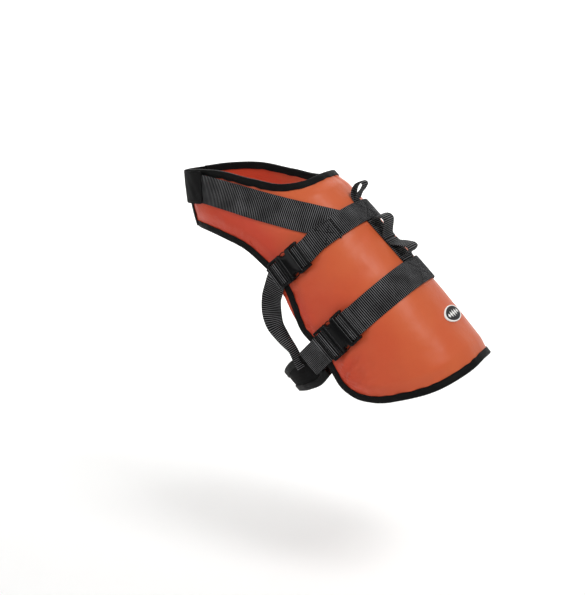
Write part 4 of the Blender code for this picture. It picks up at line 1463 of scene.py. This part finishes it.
@dataclass
class Badge:
    """The oval patch near the hem, with a raised rim and a row of lozenges."""

    along: float = 243.0
    lift: float = 8.6
    thickness: float = 1.4
    relief: float = 0.5
    rings: int = 60
    sides: int = 200

    def build(self) -> bpy.types.Object:
        """Rings of points from the middle of the back to the middle of the face, through the rim."""
        turns = np.linspace(0, 2 * math.pi, self.sides, endpoint=False)
        share = np.linspace(0.02, 1, self.rings)
        share = np.concatenate([[0.5, 1.0], [1.0], share[::-1] * 0.985])
        base = np.concatenate([[0, 0], [0.7 * self.thickness], np.full(self.rings, self.thickness)])
        x = PATCH.half_width * share[:, None] * np.sin(turns)
        y = PATCH.half_length * share[:, None] * np.cos(turns)
        lift = np.broadcast_to(base[:, None], x.shape).copy()
        lift[3:] += self.relief * PATCH.raised(x[3:], y[3:])
        lift[3] -= 0.25
        flat_y, flat_x = y.reshape(-1), x.reshape(-1)
        around = TRUNK.around_at(self.along + flat_y, flat_x)
        sunk = BackPanel.hollow(self.along + flat_y, flat_x)
        points = TRUNK.lifted(self.along + flat_y, around, self.lift - sunk + lift.reshape(-1))
        form = Form()
        form.tube(points.reshape(x.shape + (3,)), np.stack([x, y], axis=-1))
        return place(form.build("badge_patch", PATCH), Slot.BADGE, "badge")


@dataclass
class BellyPanel:
    """The padded panel under the belly and its binding."""

    front: tuple = ((128, 119), (122, 136), (124, 158), (126, 180))
    rear: tuple = ((184, 112.5), (186, 124), (178, 137), (166, 156), (163, 180))
    foam: float = 5.0
    columns: int = 90
    rows: int = 36

    def build(self) -> list[bpy.types.Object]:
        """A slab between the two edges, wavy away from them."""
        front, rear = (
            whole_edge(TRUNK.sampled(edge[::-1], self.columns + 1, 13.0))
            for edge in (self.front, self.rear)
        )
        share = np.linspace(0, 1, self.rows)[:, None, None]
        grid = front[None] * (1 - share) + rear[None] * share
        inner = TRUNK.surface(grid[..., 0], grid[..., 1])
        edge = np.minimum(share, 1 - share)[..., 0] * 45
        soft = smooth_step((edge - 9) / 8)
        wave = soft * (0.5 * ripple(inner, 26, 41) + 0.5 * ripple(inner, 60, 42))
        normal = TRUNK.outward(grid[..., 0], grid[..., 1])
        outer = inner + normal * (self.foam + wave)[..., None]
        down = np.stack([lengths_along(inner[:, i]) for i in range(inner.shape[1])], axis=1)
        over = np.stack([lengths_along(row) for row in inner])
        form = Form()
        form.slab(inner, outer, np.stack([over, down], axis=-1))
        piece = place(form.build("belly_cloth", BELLY_MESH), Slot.BELLY, "belly_panel")
        stitches = Form()
        pieces = [piece]
        for name, path, inwards in (
            ("front", grid[0], -1), ("rear", grid[-1], 1),
            ("right", cut_short(grid[:, 0], 14, 14), 1), ("left", cut_short(grid[:, -1], 14, 14), -1),
        ):
            tape = Binding(f"belly_tape_{name}", f"belly_binding_{name}", inwards, self.foam, seed=25)
            pieces.append(tape.build(path, Slot.BINDING, stitches))
        pieces.append(place(stitches.build("belly_stitches", THREAD), Slot.BINDING))
        return pieces


# ---- buckles ----


@dataclass(frozen=True)
class SideReleaseBuckle:
    """A socket with a ladder frame and its plug pushed home, in the buckle's own frame: x runs
    down the strap, y across it and z outwards, all in mm."""

    seat: BuckleSeat
    height: float = 12.0
    body_from: float = -15.0
    mouth: float = 11.0
    back: float = -34.0
    end: float = 34.0
    rail: float = 5.0
    bar_low: float = 3.9
    bar_high: float = 7.9
    rim_low: float = 10.1

    @property
    def inside(self) -> float:
        """Half the gap between the rails."""
        return self.seat.webbing / 2 + 1

    @property
    def half(self) -> float:
        """Half the width over the rails."""
        return self.inside + self.rail

    def ring(self, half_wide: Array, low: Array, high: Array, power: float, sides: int) -> Array:
        """Rounded rectangles: y and z are the cosine and sine of the turn, each raised to a power
        that squares the corner.

        Args:
            half_wide: Half the width of each.
            low: Its underside.
            high: Its top.
            power: 1 gives an ellipse, and near 0 a rectangle.
            sides: Points round each.

        Returns:
            y and z by ring and side.
        """
        turn = np.linspace(0, 2 * math.pi, sides, endpoint=False) + math.pi / sides
        wide, tall = np.cos(turn), np.sin(turn)
        y = np.sign(wide) * np.abs(wide) ** power * np.asarray(half_wide, float)[:, None]
        middle, half = (np.asarray(low) + high) / 2, (np.asarray(high) - low) / 2
        z = middle[:, None] + np.sign(tall) * np.abs(tall) ** power * half[:, None]
        return np.stack([y, z], axis=-1)

    def block(self, form: Form, x: Array, y: Array, wide: Array, low: Array, high: Array,
              power: float = 0.35, sides: int = 28) -> None:
        """Adds a rounded block along x: rings whose size is given at each x.

        Args:
            form: Takes it.
            x: Where the rings are.
            y: Its middle across, at each ring.
            wide: Half the width at each ring.
            low: Underside at each ring.
            high: Top at each ring.
            power: Squareness of the section.
            sides: Points round it.
        """
        x = np.asarray(x, float)
        y, wide, low, high = (
            np.broadcast_to(np.asarray(v, float), x.shape) for v in (y, wide, low, high)
        )
        ring = self.ring(wide, low, high, power, sides)
        points = np.empty(ring.shape[:2] + (3,))
        points[..., 0] = x[:, None]
        points[..., 1], points[..., 2] = ring[..., 0] + y[:, None], ring[..., 1]
        form.tube(self.seat.world(points))

    def rounded(self, first: float, last: float, radius: float, count: int = 6) -> tuple[Array, Array]:
        """Places from first to last that crowd at both ends, and how much a corner of this radius
        takes off there: the radius less the height of a circle."""
        turn = np.radians(np.linspace(0, 90, count))
        start = first + radius * (1 - np.cos(turn))
        x = np.concatenate([start, last - (start - first)[::-1]])
        take = radius * (1 - np.sin(turn))
        return x, np.concatenate([take, take[::-1]])

    def carried(self, form: Form, path: Array, wide: float, tall: float) -> None:
        """Adds a rounded bar along a path: each ring lies square to it, with z outwards.

        Args:
            form: Takes it.
            path: Points in the buckle's frame.
            wide: The bar's width, level with the buckle's back.
            tall: Its height.
        """
        ahead = unit(np.gradient(path, axis=0))
        side = unit(np.cross(ahead, np.array((0, 0, 1.0))))
        up = np.cross(side, ahead)
        ring = self.ring(np.full(1, wide / 2), np.full(1, -tall / 2), np.full(1, tall / 2), 0.55, 20)[0]
        points = path[:, None] + ring[:, :1] * side[:, None] + ring[:, 1:] * up[:, None]
        form.tube(self.seat.world(points))

    def cross_bar(self, form: Form, x: float, wide: float, low: float, high: float, half: float) -> None:
        """Adds a bar straight across."""
        y = self.rounded(-half, half, 1.0)[0]
        path = np.stack([np.full(len(y), x), y, np.full(len(y), (low + high) / 2)], axis=-1)
        self.carried(form, path, wide, high - low)

    def rim(self, form: Form, at: float, wide: float, start: float) -> None:
        """Adds the raised bar at an end: it comes along one rail, turns a round corner, crosses
        above the webbing and goes back along the other rail.

        Args:
            form: Takes it.
            at: Where the bar's outer edge is.
            wide: Its width.
            start: Where it leaves each rail.
        """
        sign, radius = math.copysign(1, at), 4.5
        middle, half = at - sign * wide / 2, self.half - wide / 2
        turn = np.radians(np.linspace(0, 90, 8))
        corner_x = middle - sign * radius + sign * radius * np.sin(turn)
        corner_y = half - radius + radius * np.cos(turn)
        x = np.concatenate([[start, (start + corner_x[0]) / 2], corner_x])
        y = np.concatenate([[half, half], corner_y])
        z = (self.rim_low + self.height + 0.3) / 2 - 2.4 * smooth_step(np.abs(x - middle) / 16)
        path = np.stack([x, y, z], axis=-1)
        other = path[::-1] * (1, -1, 1)
        self.carried(form, np.concatenate([path, other]), wide, self.height + 0.2 - self.rim_low)

    def rails(self, form: Form, first: float, last: float) -> None:
        """Adds the two side rails between two places."""
        x, take = self.rounded(first, last, 2.2)
        end = first if abs(first) > abs(last) else last
        high = self.height - 0.3 - 2.4 * smooth_step((np.abs(x - end) - 3) / 16)
        for side in (-1, 1):
            self.block(form, x, side * (self.inside + self.rail / 2), self.rail / 2 - take * 0.6,
                       self.bar_low - 0.2 + take * 0.5, high - take * 0.6, 0.45, 24)

    def socket(self) -> bpy.types.Object:
        """The body with a window at each side, its raised mouth, the rails and the ladder bars."""
        form = Form()
        x, take = self.rounded(self.body_from, self.mouth, 2.4)
        x = np.concatenate([x[:6], np.linspace(self.body_from + 3.2, self.mouth - 3.2, 26), x[6:]])
        take = np.concatenate([take[:6], np.zeros(26), take[6:]])
        scoop = np.exp(-(np.abs((x + 0.6) / 6.0) ** 4))
        dome = 0.9 * np.exp(-(((x + 1) / 10) ** 2))
        self.block(form, x, 0, self.half - take - scoop * 9.0, take * 0.8,
                   self.height - 0.9 - take + dome, 0.22, 48)
        lip_x, lip_take = self.rounded(self.mouth - 3.6, self.mouth, 1.0)
        self.block(form, lip_x, 0, self.half + 0.2 - lip_take, lip_take,
                   self.height + 0.3 - lip_take, 0.25, 48)
        for side in (-1, 1):
            loop = np.radians(np.linspace(-100, 100, 22))
            out = self.half - 6.6 + 5.6 * np.maximum(np.cos(loop), 0) ** 0.6
            path = np.stack([-0.6 + 6.6 * np.sin(loop), side * out, np.full(22, 9.4)], axis=-1)
            self.carried(form, path, 1.7, 2.2)
        self.rails(form, self.back, self.body_from + 6)
        self.rim(form, self.back, 4.6, self.body_from + 2)
        self.cross_bar(form, -21, 3.8, self.bar_low, self.bar_high, self.half - 1.5)
        name = self.seat.name
        return place(form.build(f"{name}_socket", ACETAL), Slot.BUCKLE, f"{name}_buckle_socket")

    def plug(self) -> bpy.types.Object:
        """The grip across the mouth, two sprung arms with thumb pads, rails and the strap bars."""
        form = Form()
        x, take = self.rounded(self.mouth + 0.4, 18.0, 1.8)
        self.block(form, x, 0, self.half - take, 1 + take * 0.7, self.height - 0.7 - take * 0.8, 0.25, 48)
        self.cross_bar(form, 14.7, 1.6, self.height - 2.0, self.height - 0.1, self.half - 6)
        self.rails(form, 14.0, self.end)
        self.rim(form, self.end, 3.8, 16.0)
        self.cross_bar(form, 24, 3.8, self.bar_low, self.bar_high, self.half - 1.5)
        for side in (-1, 1):
            arm_x = np.linspace(self.mouth + 1, self.mouth - 19, 26)
            run = (self.mouth + 1 - arm_x) / 20
            bow = self.half - 3.6 - 5.5 * smooth_step((run - 0.1) / 0.5) + 0.6 * run
            thick = 1.5 + 1.0 * np.exp(-(((run - 0.6) / 0.16) ** 2))
            self.block(form, arm_x, side * bow, thick, 3.4, 8.6, 0.45, 20)
        name = self.seat.name
        return place(form.build(f"{name}_plug", ACETAL), Slot.BUCKLE, f"{name}_buckle_plug")


# ---- studio ----


@dataclass
class Studio:
    """The camera, the floor and soft light."""

    aim: tuple[float, float, float] = (0.0, -0.1325, -0.1695)
    azimuth: float = 24.0
    elevation: float = 13.0
    distance: float = 2.15
    lens: float = 70.0
    floor_at: float = -0.70

    def directions(self) -> tuple[Vector, Vector]:
        """To the camera's right, and back from the jacket to the camera, from its two angles."""
        turn, rise = math.radians(self.azimuth), math.radians(self.elevation)
        level = math.cos(rise)
        back = Vector((level * math.cos(turn), level * math.sin(turn), math.sin(rise)))
        return Vector((-math.sin(turn), math.cos(turn), 0.0)), back

    def camera(self) -> bpy.types.Object:
        """A 70 mm lens 2 m away, to the left of the jacket, a little behind and above it."""
        data = bpy.data.cameras.new("camera")
        data.lens, data.sensor_width = self.lens, 36.0
        made = bpy.data.objects.new("camera", data)
        bpy.context.scene.collection.objects.link(made)
        right, back = self.directions()
        eye = Vector(self.aim) + back * self.distance
        facing = Matrix((right, back.cross(right), back)).transposed().to_4x4()
        made.matrix_world = Matrix.Translation(eye) @ facing
        bpy.context.scene.camera = made
        return made

    def light(self, name: str, spot: tuple, aim: tuple, size: float, power: float) -> None:
        """A square soft light that faces a point."""
        data = bpy.data.lights.new(name, "AREA")
        data.size, data.energy = size, power
        made = bpy.data.objects.new(name, data)
        bpy.context.scene.collection.objects.link(made)
        turn = (Vector(aim) - Vector(spot)).to_track_quat("-Z", "Y")
        made.matrix_world = Matrix.Translation(spot) @ turn.to_matrix().to_4x4()

    def floor(self) -> None:
        """A wide floor that curves up behind the jacket: flat, then a quarter circle, then a wall."""
        side = np.linspace(-6000, 6000, 40)
        turn = np.radians(np.linspace(0, 90, 24))
        out = np.concatenate([np.linspace(-4000, 2400, 20), 2400 + 1500 * np.sin(turn)[1:]])
        up = np.concatenate([np.zeros(20), 1500 * (1 - np.cos(turn))[1:]])
        out, up = np.append(out, out[-1] + 1), np.append(up, 6000)
        right, back = self.directions()
        away = -np.array(back) * (1, 1, 0)
        away /= np.linalg.norm(away)
        across = np.array(right)
        top = out[:, None, None] * away + side[None, :, None] * across
        top = top + (up[:, None, None] + self.floor_at / MM) * np.array((0, 0, 1.0))
        form = Form()
        form.slab(top - np.array((0, 0, 20.0)) + away * 20 * (up > 0)[:, None, None], top)
        form.build("studio_floor", FLOOR)

    def build(self) -> None:
        """Camera, lights and floor."""
        self.camera()
        self.floor()
        self.light("key", (0.9, 1.5, 2.1), (0, 0, -0.1), 0.9, 40)
        self.light("fill", (2.2, -1.4, 0.7), (0, -0.1, -0.1), 1.6, 13)
        self.light("backdrop", (-2.2, -1.0, 2.6), (-3.4, -1.5, 0.6), 2.0, 110)
        world = bpy.data.worlds.new("studio")
        world.use_nodes = True
        ground = world.node_tree.nodes["Background"]
        ground.inputs["Color"].default_value = linear("#FFFFFF")
        ground.inputs["Strength"].default_value = 0.42
        bpy.context.scene.world = world
        bpy.context.scene.view_settings.view_transform = "Standard"


def main() -> None:
    """Builds the jacket piece by piece."""
    logging.basicConfig(level=logging.INFO, format="%(message)s")
    Studio().build()
    panel = BackPanel()
    panel.build()
    Bindings().build(panel)
    Straps().build()
    ChestClosure().build()
    Badge().build()
    BellyPanel().build()
    for seat in (FRONT_SEAT, REAR_SEAT):
        buckle = SideReleaseBuckle(seat)
        buckle.socket()
        buckle.plug()


if __name__ == "__main__":
    main()
